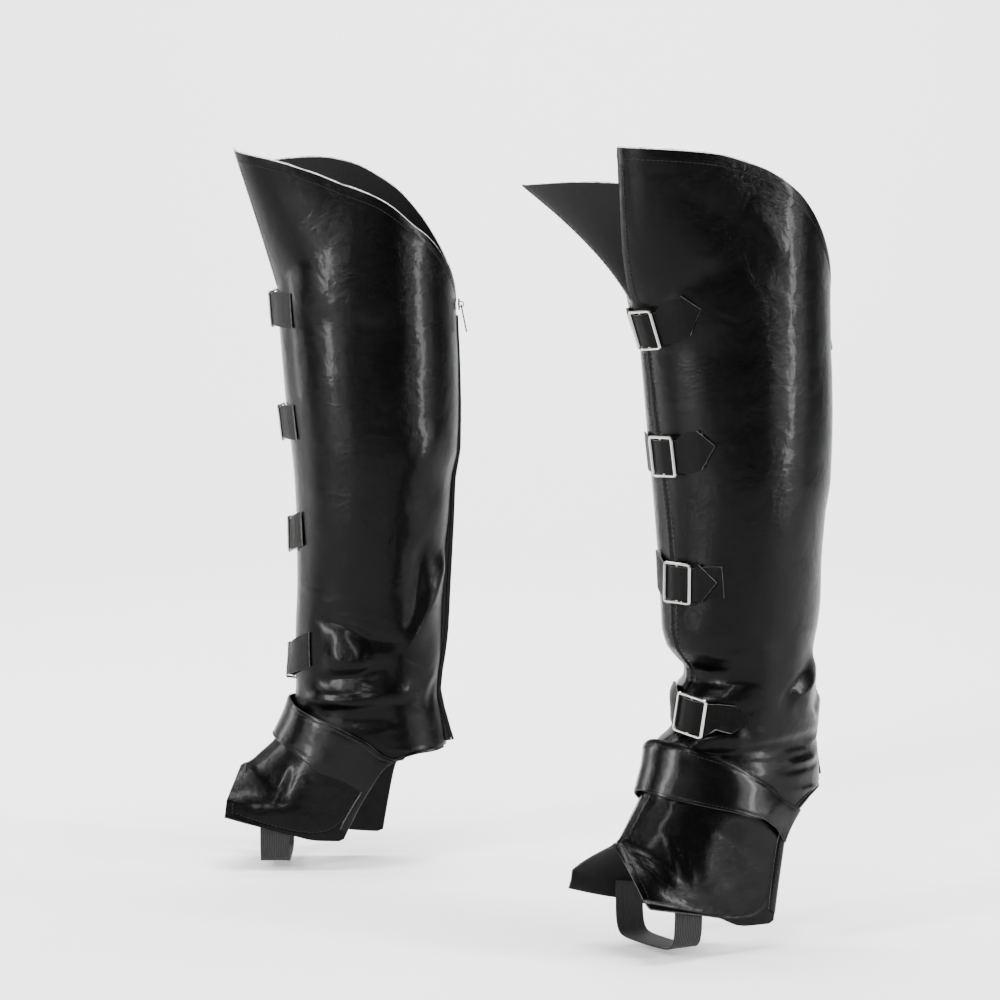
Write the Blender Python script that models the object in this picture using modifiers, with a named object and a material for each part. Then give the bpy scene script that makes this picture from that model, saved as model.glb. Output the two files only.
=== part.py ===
"""Pair of knee-high boot covers, filled out as worn.

Two covers, a mirrored pair.  Each is an outer and an inner panel (shaft and spat
cut in one) joined by a front seam, with an open V slit at the top in front, four
buckle straps, an instep strap, a back zip in a narrow standing fin, and an elastic
stirrup.  Metres, +Z up.  The origin lies midway between the two shafts, at calf height.
"""
import math

import bmesh
import bpy
import numpy as np
from mathutils import Matrix, Vector

# ------------------------------------------------------------------ driving sizes (mm)
PANEL_T = 1.5            # wall of the two panels
STRAP_W, STRAP_WAIST = 28.4, 24.6     # buckle straps, and their width inside the frame
STRAP_T = 1.2
BAND_T = 2.2             # instep strap, doubled
CHAPE_T = 1.0
BUCKLE_H, BUCKLE_W = 31.0, 27.0      # outer size of a buckle frame
BUCKLE_WIRE = 2.4
BUCKLE_BAR = 1.8
TAPE_T = 1.0             # one zip tape
TAPE_IN = 4.0            # tape reaches this far inside the panel
CHAIN_W, CHAIN_T = 2.1, 2.2
RING_R, RING_WIRE = 2.3, 1.0         # ring on the slider
PULL_L, PULL_W, PULL_T = 23.5, 5.0, 1.2
PULL_LEAN = 11.4         # degrees off the plumb line
STIRRUP_W, STIRRUP_T = 24.0, 1.3
STIRRUP_Z = 6.5          # height of its underside span
GAP = 0.3
ORIGIN = (36.0, 155.5, 380.0)        # of the model, in the standing frame of the tables

# ---- one cover, millimetres, in its own frame: x forward, y outward to its side, z up from the ground ----
# rows of the shaft: front point, side point, back point; shared by both panels
SHAFT = (
    # v    xf     zf     xs    ys    zs     xe     ye    ze    e
    (600, 80.0, 600.0,  2.0, 62.0, 600.0, -68.0,  0.0, 600.0, 1.0),
    (540, 79.0, 540.0,  2.0, 63.0, 540.0, -69.0,  0.0, 540.0, 1.0),
    (483, 78.0, 483.0,  2.0, 64.0, 483.0, -69.5,  0.0, 483.0, 1.0),
    (446, 76.0, 446.0,  1.0, 64.0, 446.0, -70.5,  0.0, 446.0, 1.0),
    (426, 74.5, 426.0,  1.0, 64.0, 426.0, -71.5,  0.0, 426.0, 1.0),
    (385, 71.0, 385.0,  0.0, 64.0, 385.0, -72.0,  0.0, 385.0, 1.0),
    (350, 67.0, 350.0,  0.0, 63.5, 350.0, -71.0,  0.0, 350.0, 1.0),
    (323, 64.5, 323.0,  0.0, 62.0, 323.0, -66.0,  0.0, 323.0, 1.0),
    (290, 63.0, 290.0,  0.0, 58.0, 290.0, -63.5,  0.0, 290.0, 1.0),
    (239, 62.5, 239.0,  1.0, 50.0, 239.0, -59.5,  0.0, 239.0, 1.0),
    (200, 64.0, 200.0,  2.0, 46.0, 200.0, -58.0,  0.0, 200.0, 1.0),
    (177, 64.5, 177.0,  3.0, 44.0, 177.0, -57.0,  0.0, 177.0, 1.0),
    (150, 64.0, 150.0,  4.0, 42.0, 150.0, -54.0,  0.0, 147.0, 1.0),
    (130, 68.0, 131.0,  6.0, 41.0, 127.0, -58.0,  0.0, 122.0, 1.0),
)
# rows that fan out over the spat: their ends run along the hem, then along the lower edge
FOOT_OUTER = (
    (112, 75.0, 116.0,  8.0, 41.0, 108.0, -61.5,  0.0, 101.0, 1.0),
    (100, 81.0, 107.0, 15.0, 41.0,  99.0, -47.0, 25.0, 100.0, 1.05),
    ( 90, 85.0, 103.0, 22.0, 41.0,  92.0, -34.0, 32.0,  94.5, 1.1),
    ( 80, 89.0,  99.0, 30.0, 41.0,  86.0, -25.0, 36.0,  88.0, 1.15),
    ( 68, 93.0,  96.0, 38.0, 41.0,  79.0, -18.0, 38.0,  78.0, 1.2),
    ( 56, 97.0,  92.5, 46.0, 41.0,  71.0, -14.5, 39.0,  64.0, 1.25),
    ( 44, 101.0, 89.0, 54.0, 41.5,  62.0, -11.0, 39.0,  45.0, 1.3),
    ( 32, 104.0, 87.0, 62.0, 42.0,  53.0,  -6.5, 39.5,  19.0, 1.35),
    ( 24, 106.0, 86.0, 76.0, 42.5,  52.0,  22.0, 40.5,  20.5, 1.45),
    ( 16, 108.0, 85.3, 90.0, 43.0,  52.0,  50.0, 43.0,  31.5, 1.6),
    (  8, 109.3, 84.8, 102.0, 43.5, 52.0,  80.0, 45.5,  38.5, 1.75),
    (  0, 110.5, 84.0, 114.0, 43.5, 52.0, 109.5, 47.0,  45.0, 1.9),
)
FOOT_INNER = (
    (112, 75.0, 116.0,  8.0, 41.0, 108.0, -61.5,  0.0, 101.0, 1.0),
    (100, 81.0, 107.0, 18.0, 41.0,  99.0, -47.0, 24.0,  98.5, 1.05),
    ( 90, 85.0, 103.0, 28.0, 41.0,  92.0, -30.0, 33.0,  95.0, 1.1),
    ( 80, 89.0,  99.0, 38.0, 41.0,  86.0, -15.0, 37.0,  91.0, 1.15),
    ( 68, 93.0,  96.0, 46.0, 41.0,  79.0,  -6.0, 38.0,  80.0, 1.2),
    ( 56, 97.0,  92.5, 54.0, 41.0,  71.0,   3.0, 38.0,  66.0, 1.25),
    ( 44, 101.0, 89.0, 61.0, 41.0,  62.0,  13.0, 38.5,  48.0, 1.3),
    ( 32, 104.0, 87.0, 68.0, 42.0,  54.0,  24.0, 39.0,  25.0, 1.35),
    ( 24, 106.0, 86.0, 82.0, 43.0,  54.0,  45.0, 40.0,  25.5, 1.4),
    ( 16, 108.0, 85.3, 95.0, 43.5,  55.0,  68.0, 42.0,  31.0, 1.5),
    (  8, 109.3, 84.8, 108.0, 43.5, 57.0,  92.0, 44.0,  38.0, 1.6),
    (  0, 110.5, 84.0, 120.0, 42.5, 60.0, 121.5, 45.0,  47.0, 1.7),
)
HEM_BACK_ROW = 112.0          # the row whose end is the hem's back corner
HEM_LOW_ROW = 32.0            # the row whose end is the spat's rear lower corner
SLIT_Z = 480.0                # bottom of the front slit
FOLD_SLANT = 0.4              # rise of a flap's fold line for each mm of arc

# height of the top edge round each panel, s = 0 front edge .. 1 back edge
TOP_EDGE = (
    # s      outer   inner panel
    (0.00, 597.0, 596.0),
    (0.20, 595.0, 587.0),
    (0.33, 592.0, 576.5),
    (0.42, 586.0, 567.5),
    (0.48, 581.0, 563.0),
    (0.55, 572.5, 557.0),
    (0.62, 562.5, 548.0),
    (0.70, 546.0, 534.0),
    (0.77, 529.0, 524.0),
    (0.85, 509.5, 509.0),
    (0.92, 494.0, 496.0),
    (1.00, 477.0, 477.0),
)

def pchip(x, xs, ys):
    """smooth curve through a table without overshoot; xs rising"""
    x = np.asarray(x, float); xs = np.asarray(xs, float); ys = np.asarray(ys, float)
    h = np.diff(xs); d = np.diff(ys) / h
    m = np.zeros_like(ys)
    if len(xs) == 2:
        m[:] = d[0]
    else:
        w1 = 2 * h[1:] + h[:-1]; w2 = h[1:] + 2 * h[:-1]
        same = d[:-1] * d[1:] > 0
        with np.errstate(divide="ignore", invalid="ignore"):
            harm = (w1 + w2) / (w1 / d[:-1] + w2 / d[1:])
        m[1:-1] = np.where(same, harm, 0.0)
        m[0], m[-1] = d[0], d[-1]
    k = np.clip(np.searchsorted(xs, x, side="right") - 1, 0, len(xs) - 2)
    t = np.clip((x - xs[k]) / h[k], 0, 1)
    h00 = 2*t**3 - 3*t**2 + 1; h10 = t**3 - 2*t**2 + t
    h01 = -2*t**3 + 3*t**2; h11 = t**3 - t**2
    return h00*ys[k] + h10*h[k]*m[k] + h01*ys[k+1] + h11*h[k]*m[k+1]

_T = {"lat": np.array(sorted(SHAFT + FOOT_OUTER), float), "med": np.array(sorted(SHAFT + FOOT_INNER), float)}

def row_values(side, v):
    v = np.asarray(v, float)
    R = _T[side]
    A = R[:, 0]
    cols = [pchip(v, A, R[:, c]) for c in range(1, 6)]
    cuts = (-1.0, HEM_LOW_ROW, HEM_BACK_ROW, 601.0)
    for c in range(6, 9):
        out = np.zeros_like(v)
        for lo, hi in zip(cuts[:-1], cuts[1:]):
            pick = (A >= lo) & (A <= hi)
            here = (v >= lo) & (v <= hi)
            out = np.where(here, pchip(v, A[pick], R[pick, c]), out)
        cols.append(out)
    cols.append(pchip(v, A, R[:, 9]))
    return cols

NPHI = 41
_PH = np.linspace(0, 2, NPHI)

def base(side, v, s, out_len=False):
    """point of the plain cover (outer side y > 0) on row v, at the part s of its arc from the front"""
    v, s = np.broadcast_arrays(np.asarray(v, float), np.asarray(s, float))
    shape = v.shape; v = v.ravel(); s = s.ravel()
    xf, zf, xs, ys, zs, xe, ye, ze, e = [c[:, None] for c in row_values(side, v)]
    u = _PH[None, :]
    c1 = np.abs(np.cos(np.minimum(u, 1) * math.pi/2)) ** e
    s1 = np.abs(np.sin(np.minimum(u, 1) * math.pi/2)) ** e
    c2, s2 = np.cos(np.maximum(u - 1, 0) * math.pi/2), np.sin(np.maximum(u - 1, 0) * math.pi/2)
    first = u <= 1
    px = np.where(first, xs + (xf-xs)*c1, xs + (xe-xs)*s2)
    py = np.where(first, ys*s1, ye + (ys-ye)*c2)
    pz = np.where(first, zs + (zf-zs)*c1, zs + (ze-zs)*s2)
    P = np.stack([px, py, pz], -1)
    seg = np.linalg.norm(np.diff(P, axis=1), axis=2)
    L = np.concatenate([np.zeros((len(v), 1)), np.cumsum(seg, 1)], 1)
    tot = L[:, -1]
    want = np.clip(s, 0, 1) * tot
    k = np.clip((L <= want[:, None]).sum(1) - 1, 0, NPHI - 2)
    i = np.arange(len(v))
    f = (want - L[i, k]) / np.maximum(seg[i, k], 1e-9)
    out = P[i, k] + (P[i, k+1] - P[i, k]) * f[:, None]
    out = out.reshape(shape + (3,))
    if out_len:
        return out, tot.reshape(shape)
    return out

def smooth(x):
    x = np.clip(x, 0, 1)
    return x*x*(3 - 2*x)

# how each cover stands and how its flaps lie open
#  flap: tip moved forward / outward / up, reach back along the top edge, sharpness of its fold
COVERS = {
    "left": dict(x=178.0, y=0.0, yaw=32.0, hand=1,
                 turn=((600, -8.0), (480, -8.0), (443, -6.0), (350, -1.0), (258, 4.0), (210, 4.0), (150, 1.0), (112, 0.0), (0, 0.0)),
                 front=((600, 4.0), (497, 10.0), (480, 8.0), (446, 0.0), (258, -2.0), (242, -2.0), (228, -6.0), (217, -14.0), (208, -21.0), (200, -22.0), (192, -18.0),
                        (181, -14.0), (169, -15.0), (158, -15.0), (150, -9.0), (143, 0.0), (136, 4.0), (125, 2.0), (112, 0.0), (0, 0.0)),
                 back=((600, 0.0), (446, 0.0), (300, -2.0), (258, -6.0), (242, -7.0), (228, -5.5), (214, -4.0), (206, -5.0), (194, -10.0),
                       (181, -16.0), (169, -20.0), (153, -20.0), (140, -16.0), (112, -11.0), (100, -9.0), (90, -6.0), (80, -3.0), (68, 0.0), (0, 0.0)),
                 lift=((600, 0.0), (230, 0.0), (200, 3.0), (177, 8.0), (150, 14.0), (130, 16.0), (112, 17.0), (100, 13.0), (90, 11.0), (80, 9.0),
                       (68, 6.0), (56, 4.0), (44, 2.0), (32, 0.0), (0, -1.0)),
                 flap={"lat": (30.0, 26.0, 0.0, 105.0, 0.65), "med": (72.0, 46.0, -27.0, 120.0, 1.3)}),
    "right": dict(x=-106.0, y=311.0, yaw=0.0, hand=-1,
                 turn=((600, 0.0), (0, 0.0)),
                 front=((600, 0.0), (0, 0.0)),
                 back=((600, 0.0), (0, 0.0)),
                 lift=((600, 0.0), (0, 0.0)),
                 flap={"lat": (31.0, 20.0, -14.0, 100.0, 1.1), "med": (32.0, 28.0, 0.0, 100.0, 1.05)}),
}

def table(x, rows):
    r = np.array(sorted(rows), float)
    return pchip(x, r[:, 0], r[:, 1])

def local(cover, side, v, s):
    """surface point in the cover's own frame; side 'lat' outward, 'med' inward"""
    c = COVERS[cover]
    P, L = base(side, v, s, True)
    v, s = np.broadcast_arrays(np.asarray(v, float), np.asarray(s, float))
    x, y, z = P[..., 0].copy(), P[..., 1].copy(), P[..., 2].copy()
    x = x + table(v, c["front"]) * np.clip(x / 64.0, 0, 1) + table(v, c["back"]) * np.clip(-x / 62.0, 0, 1)
    z = z + table(v, c["lift"])
    fx, fy, fz, reach, p = c["flap"][side]
    a = s * L
    # the fold of a flap starts at the slit's foot and runs up and back
    foot = SLIT_Z + FOLD_SLANT * np.minimum(a, 90.0)
    r = np.clip((v - foot) / (596.0 - foot), 0, 1.05) ** p
    w = smooth(1 - a / reach)
    x = x + fx * r * w
    y = y + fy * r * w
    z = z + fz * r * w
    y = y * (1 if side == "lat" else -1)
    t = np.radians(table(v, c["turn"]))
    # a positive turn swings the front towards the outer side
    x, y = x*np.cos(t) - y*np.sin(t), x*np.sin(t) + y*np.cos(t)
    return np.stack([x, y, z], -1)

def world(cover, P):
    """to the shared standing frame (mm): X right, Y away, Z up from the ground"""
    c = COVERS[cover]
    h = c["hand"]
    a = math.radians(c["yaw"])
    x, y, z = P[..., 0], P[..., 1], P[..., 2]
    # forward is -X, turned by the yaw towards -Y; outward is -Y (left) or +Y (right)
    fx, fy = -math.cos(a), -math.sin(a)
    ox, oy = math.sin(a)*h, -math.cos(a)*h
    return np.stack([c["x"] + x*fx + y*ox, c["y"] + x*fy + y*oy, z], -1)

def top_row(side, s):
    t = np.array(TOP_EDGE, float)
    return pchip(s, t[:, 0], t[:, 1 if side == "lat" else 2])

def panel_rc(side, nrow_top, rows_below, cols):
    """row and column coordinates of a panel grid: cols of s, rows from the top edge to the spat's front edge"""
    s = np.asarray(cols, float)
    top = top_row(side, s)
    base_row = rows_below[0]
    V = []
    for j in range(nrow_top):
        f = j / nrow_top
        V.append(top + (base_row - top) * f)
    for r in rows_below:
        V.append(np.full_like(s, r))
    V = np.array(V)
    S = np.broadcast_to(s, V.shape)
    return V, S

# buckle straps: rows and arc positions (mm, + outward) of the sewn end, the buckle and the tip; how far it stands off in front
STRAPS = (
    # v_end  a_end  v_buckle  a_buckle  v_tip  a_tip  loop_left  loop_right  rise_left  rise_right
    (464.0, -39.0, 465.0, 12.0, 480.0, 58.5, 0.0, 0.5, 5.6, 5.6),
    (372.0, -31.0, 371.0,  8.5, 380.0, 51.0, 0.0, 0.5, 5.6, 5.6),
    (284.0, -26.0, 277.0,  9.0, 279.0, 38.5, 0.5, 1.0, 5.6, 5.6),
    (184.0, -32.0, 169.0, 14.0, 163.0, 59.0, 6.0, 2.0, 10.5, 5.6),
)
# lie of a strap: inside the frame, along the strap from the middle bar and out of the frame's plane; outside it, off the panel
STRAP_IN_FRAME = ((-14.5, -2.5), (-12.3, -2.1), (-8.0, -0.3), (-3.0, 1.6), (0.0, 1.75), (3.0, 1.6), (8.0, -0.4), (12.3, -2.1), (14.5, -2.5))
STRAP_OFF_PANEL = ((-60.0, 1.5), (-34.0, 1.6), (-27.0, 2.4), (-20.0, 4.2), (20.0, 3.9), (28.0, 3.3), (36.0, 2.8), (60.0, 2.2))
CHAPE_IN_FRAME = ((2.9, -0.7), (7.5, -2.0), (13.0, -4.0))
CHAPE_OFF_PANEL = ((20.0, 1.5), (27.0, 1.5), (34.0, 1.5))
# instep strap: -1 inner end .. +1 outer end; rows of its two edges and their distance off the panel
BAND = (
    # q      v_top  v_low  off_top off_low
    (-1.00,  84.0,  54.0, 1.0, 1.0),
    (-0.77,  96.0,  64.0, 1.3, 1.1),
    (-0.57, 109.0,  74.0, 2.2, 1.3),
    (-0.35, 124.0,  85.0, 5.0, 2.0),
    (-0.20, 131.0,  92.0, 6.0, 3.0),
    ( 0.00, 140.0, 100.0, 4.0, 3.0),
    ( 0.10, 140.0,  98.0, 3.2, 3.0),
    ( 0.225, 135.0, 96.0, 3.0, 4.0),
    ( 0.34, 128.0,  94.0, 3.0, 6.0),
    ( 0.50, 115.0,  92.0, 2.6, 8.0),
    ( 0.665, 104.5, 88.0, 2.2, 8.0),
    ( 0.81,  96.0,  79.0, 1.6, 6.0),
    ( 0.92,  90.0,  71.0, 1.3, 3.0),
    ( 1.00,  86.0,  63.0, 1.0, 1.0),
)
# half the gap between the panels at the front seam: wider where the spat's top is a ridge, so that the walls stay apart inside
FRONT_GAP = ((600, 0.18), (140, 0.18), (112, 0.22), (80, 0.5), (50, 0.85), (0, 1.15))
# how far the zip's fin stands out behind the panels
FIN = ((477, 1.2), (430, 1.4), (350, 2.4), (300, 4.0), (240, 5.6), (200, 5.2), (165, 3.0), (150, 2.8), (125, 5.0), (112, 7.0))
STIRRUP_X = {"left": 70.5, "right": 80.5}      # middle of the stirrup, forward of the shaft's axis

# the largest folds: cover, panel, depth (- trough, + ridge), half width, then (row, part of arc) points
FOLDS = (
    ("right", "med",  3.6, 13.0, ((271, 0.93), (228, 0.83), (197, 0.725), (177, 0.67))),
    ("right", "med", -2.6, 10.0, ((283, 0.73), (223, 0.745), (186, 0.66))),
    ("right", "med", -3.2,  9.0, ((212, 0.20), (204, 0.385), (193, 0.505), (191, 0.61), (196, 0.70))),
    ("right", "med",  3.2, 13.0, ((182, 0.26), (176, 0.40), (178, 0.53))),
    ("right", "med", -3.0,  8.0, ((158, 0.20), (161, 0.40), (168, 0.55), (184, 0.62))),
    ("right", "med",  2.6,  8.0, ((146, 0.10), (143, 0.39), (149, 0.64), (160, 0.80))),
    ("right", "med", -2.6,  8.0, ((131, 0.22), (130, 0.45), (134, 0.66))),
    ("right", "lat",  3.0, 12.0, ((262, 0.90), (226, 0.78), (196, 0.66))),
    ("right", "lat", -3.2,  9.0, ((206, 0.15), (198, 0.34), (193, 0.56))),
    ("right", "lat", -3.0,  8.0, ((156, 0.18), (158, 0.42), (166, 0.62))),
    ("right", "lat",  2.8,  9.0, ((145, 0.20), (144, 0.50), (150, 0.72))),
    ("left", "lat",   3.8, 12.0, ((214, 0.86), (192, 0.72), (168, 0.64))),
    ("left", "lat",  -3.0, 10.0, ((196, 0.96), (176, 0.84), (158, 0.78))),
    ("left", "lat",  -3.4,  8.0, ((140, 0.10), (133, 0.36), (133, 0.545), (136, 0.70), (138, 0.90))),
    ("left", "lat",   2.6,  8.0, ((146, 0.10), (149, 0.28), (146, 0.42))),
    ("left", "med",  -4.0, 11.0, ((210, 0.05), (206, 0.22), (210, 0.42))),
    ("left", "med",  -3.0,  9.0, ((146, 0.10), (142, 0.40), (148, 0.70))),
    ("left", "med",   3.0, 11.0, ((182, 0.20), (176, 0.45), (184, 0.70))),
)
PANEL_NAME = {"lat": "outer", "med": "inner"}

# ------------------------------------------------------------------ points on and over the panels

def to_model(P):
    """standing frame, mm, to the model's frame, m"""
    return (np.asarray(P, float) - np.array(ORIGIN)) * 0.001


def cloth(cover, side, v, s):
    """panel point in the standing frame, without folds"""
    return world(cover, local(cover, side, v, s))


def cloth_normal(cover, side, v, s):
    """outward unit normal, from small steps along the row and across the rows"""
    v = np.asarray(v, float); s = np.asarray(s, float)
    e = 0.004
    s0, s1 = np.clip(s - e, 0, 1), np.clip(s + e, 0, 1)
    v0, v1 = np.clip(v - 0.8, 0, 600), np.clip(v + 0.8, 0, 600)
    ds = cloth(cover, side, v, s1) - cloth(cover, side, v, s0)
    dv = cloth(cover, side, v1, s) - cloth(cover, side, v0, s)
    n = np.cross(ds, dv)
    n *= COVERS[cover]["hand"] * (1 if side == "lat" else -1)
    return n / np.maximum(np.linalg.norm(n, axis=-1, keepdims=True), 1e-9)


def near_line(P, Q):
    """distance of points P to the line through Q, and where along it, 0..1"""
    best = np.full(P.shape[:-1], 1e9); along = np.zeros(P.shape[:-1])
    seg = np.linalg.norm(np.diff(Q, axis=0), axis=1); total = seg.sum(); run = 0.0
    for k in range(len(Q) - 1):
        d = Q[k+1] - Q[k]
        t = np.clip(((P - Q[k]) @ d) / max(d @ d, 1e-9), 0, 1)
        dist = np.linalg.norm(P - (Q[k] + t[..., None] * d), axis=-1)
        closer = dist < best
        best = np.where(closer, dist, best)
        along = np.where(closer, (run + t * seg[k]) / total, along)
        run += seg[k]
    return best, along


def fold_height(cover, side, P):
    out = np.zeros(P.shape[:-1])
    for c, sd, depth, width, path in FOLDS:
        if c != cover or sd != side:
            continue
        vv = pchip(np.linspace(0, 1, 13), np.linspace(0, 1, len(path)), [p[0] for p in path])
        ss = pchip(np.linspace(0, 1, 13), np.linspace(0, 1, len(path)), [p[1] for p in path])
        Q = cloth(cover, side, vv, ss)
        d, t = near_line(P, Q)
        out += depth * np.exp(-(d / width) ** 2) * smooth(t / 0.25) * smooth((1 - t) / 0.25)
    return out


def panel_point(cover, side, v, s):
    P = cloth(cover, side, v, s)
    h = fold_height(cover, side, P)
    # folds die out at the seam, the zip and the free edges
    edge = smooth(np.asarray(s) / 0.06) * smooth((1 - np.asarray(s)) / 0.05)
    return P + cloth_normal(cover, side, v, s) * (h * edge)[..., None]


def row_length(side, v):
    return base(side, v, 0.5, True)[1]


def over(cover, v, a, off, folds=False):
    """point at the arc distance a (mm, + outward) from the front line on row v, moved out by off"""
    v, a, off = np.broadcast_arrays(np.asarray(v, float), np.asarray(a, float), np.asarray(off, float))
    out = np.zeros(v.shape + (3,))
    for side, pick in (("lat", a >= 0), ("med", a < 0)):
        if pick.any():
            s = np.abs(a[pick]) / row_length(side, v[pick])
            P = panel_point(cover, side, v[pick], s) if folds else cloth(cover, side, v[pick], s)
            out[pick] = P + cloth_normal(cover, side, v[pick], s) * off[pick][..., None]
    return out


# ------------------------------------------------------------------ making objects

def material(name, colour, rough, metal=0.0):
    m = bpy.data.materials.new(name)
    m.use_nodes = True
    b = m.node_tree.nodes["Principled BSDF"]
    b.inputs["Base Color"].default_value = (*colour, 1.0)
    b.inputs["Roughness"].default_value = rough
    b.inputs["Metallic"].default_value = metal
    return m


def link(ob, coll, mat):
    coll.objects.link(ob)
    if mat is not None:
        ob.data.materials.clear()
        ob.data.materials.append(mat)
    return ob


def sheet_object(name, G, thick, mat, coll, out, offset):
    """a grid of points (standing frame, mm) as an open surface with its wall; out says on which side the wall's outer face is"""
    R, C = G.shape[:2]
    P = to_model(G).reshape(-1, 3)
    me = bpy.data.meshes.new(name)
    faces = []
    for i in range(R - 1):
        for j in range(C - 1):
            q = (i*C + j, i*C + j + 1, (i+1)*C + j + 1, (i+1)*C + j)
            faces.append(q if out > 0 else q[::-1])
    me.from_pydata([tuple(p) for p in P], [], faces)
    me.update()
    ob = bpy.data.objects.new(name, me)
    link(ob, coll, mat)
    so = ob.modifiers.new("wall", "SOLIDIFY")
    so.thickness = thick * 0.001
    so.offset = offset
    so.use_even_offset = True
    so.use_rim = True
    return ob


def frame_matrix(at, x, y, z):
    m = Matrix.Identity(4)
    for k, axis in enumerate((x, y, z)):
        for r in range(3):
            m[r][k] = axis[r]
    for r in range(3):
        m[r][3] = at[r]
    return m


def unit(v):
    v = np.asarray(v, float)
    return v / np.linalg.norm(v)


def mesh_of(ob, merge=0.00001):
    """evaluated mesh of a helper object, welded; the helper is removed"""
    bpy.context.view_layer.update()
    dg = bpy.context.evaluated_depsgraph_get()
    me = bpy.data.meshes.new_from_object(ob.evaluated_get(dg), depsgraph=dg)
    bm = bmesh.new()
    bm.from_mesh(me)
    bmesh.ops.remove_doubles(bm, verts=bm.verts, dist=merge)
    bmesh.ops.recalc_face_normals(bm, faces=bm.faces)
    bm.to_mesh(me)
    bm.free()
    bpy.data.objects.remove(ob)
    return me


def wire(name, pts, radius, cyclic, coll, res=1):
    cu = bpy.data.curves.new(name, "CURVE")
    cu.dimensions = "3D"
    cu.bevel_depth = radius
    cu.bevel_resolution = res
    cu.use_fill_caps = True
    sp = cu.splines.new("POLY")
    sp.points.add(len(pts) - 1)
    for k, p in enumerate(pts):
        sp.points[k].co = (*p, 1.0)
    sp.use_cyclic_u = cyclic
    ob = bpy.data.objects.new(name, cu)
    coll.objects.link(ob)
    return ob


def joined(a_mesh, b_mesh, coll, name):
    """union of two closed meshes"""
    a = bpy.data.objects.new(name + "_a", a_mesh)
    b = bpy.data.objects.new(name + "_b", b_mesh)
    coll.objects.link(a)
    coll.objects.link(b)
    bo = a.modifiers.new("join", "BOOLEAN")
    bo.operation = "UNION"
    bo.solver = "EXACT"
    bo.object = b
    me = mesh_of(a)
    bpy.data.objects.remove(b)
    me.name = name
    return me


def rounded_rect(w, h, r, n):
    pts = []
    for cx, cy, a0 in ((w/2 - r, h/2 - r, 0), (-w/2 + r, h/2 - r, 90), (-w/2 + r, -h/2 + r, 180), (w/2 - r, -h/2 + r, 270)):
        for k in range(n + 1):
            t = math.radians(a0 + 90 * k / n)
            pts.append((cx + r * math.cos(t), cy + r * math.sin(t), 0.0))
    return pts


def buckle_mesh(coll):
    """frame of round wire with a middle bar; local X along the strap, Y across it, Z outward"""
    w, h, r = BUCKLE_W - BUCKLE_WIRE, BUCKLE_H - BUCKLE_WIRE, BUCKLE_WIRE / 2
    ring = [(x*0.001, y*0.001, z*0.001) for x, y, z in rounded_rect(w, h, 1.9, 3)]
    frame = mesh_of(wire("frame", ring, r * 0.001, True, coll))
    bar = mesh_of(wire("bar", [(0.0, -h*0.0005, 0.0), (0.0, h*0.0005, 0.0)], BUCKLE_BAR * 0.0005, False, coll))
    return joined(frame, bar, coll, "buckle")


def slider_mesh(coll):
    """plate over the chain's top end with a standing ring; local X backward, Y sideways, Z up; X = 0 on the plate's inner face"""
    bm = bmesh.new()
    bmesh.ops.create_cube(bm, size=1.0)
    bmesh.ops.scale(bm, vec=(0.0014, 0.0064, 0.0092), verts=bm.verts)
    bmesh.ops.translate(bm, vec=(0.0007, 0.0, 0.0), verts=bm.verts)
    plate = bpy.data.meshes.new("plate")
    bm.to_mesh(plate)
    bm.free()
    n = 20
    ring = [(0.0024 + RING_R*0.001*math.cos(2*math.pi*k/n), 0.0, RING_R*0.001*math.sin(2*math.pi*k/n)) for k in range(n)]
    loop = mesh_of(wire("loop", ring, RING_WIRE * 0.0005, True, coll))
    return joined(plate, loop, coll, "slider")


def pull_mesh(coll):
    """flat tab with an eye; local origin on the ring's centre, Y along the tab, X across it, Z through it"""
    cu = bpy.data.curves.new("tab", "CURVE")
    cu.dimensions = "2D"
    cu.fill_mode = "BOTH"
    cu.extrude = PULL_T * 0.0005
    hw, eye = PULL_W / 2, 2.1
    outline = []
    for k in range(9):                                   # round top, about the eye
        t = math.radians(180 * k / 8)
        outline.append((eye * math.cos(t), RING_R - eye * math.sin(t)))
    outline += [(-1.5, RING_R + 3.6), (-hw, PULL_L - 9.0), (-hw, PULL_L - 2.0), (-1.4, PULL_L), (1.4, PULL_L),
                (hw, PULL_L - 2.0), (hw, PULL_L - 9.0), (1.5, RING_R + 3.6)]
    hole = [(1.0 * math.cos(2*math.pi*k/10), RING_R + 1.0 * math.sin(2*math.pi*k/10)) for k in range(10)]
    for pts in (outline, hole):
        sp = cu.splines.new("POLY")
        sp.points.add(len(pts) - 1)
        for k, (x, y) in enumerate(pts):
            sp.points[k].co = (x*0.001, y*0.001, 0.0, 1.0)
        sp.use_cyclic_u = True
    ob = bpy.data.objects.new("tab", cu)
    coll.objects.link(ob)
    me = mesh_of(ob)
    me.name = "pull"
    return me


# ------------------------------------------------------------------ the pieces

PANEL_ROWS = (465, 446, 415, 385, 350, 323, 290, 258, 232, 214, 204, 193, 181, 169, 157, 146, 136, 126, 112, 96, 80, 66, 52, 42, 32, 20, 10, 0)
PANEL_TOP_ROWS = 6
PANEL_COLS = (0.0, 0.022, 0.08, 0.15, 0.23, 0.31, 0.39, 0.47, 0.55, 0.63, 0.71, 0.79, 0.87, 0.94, 1.0)


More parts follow.
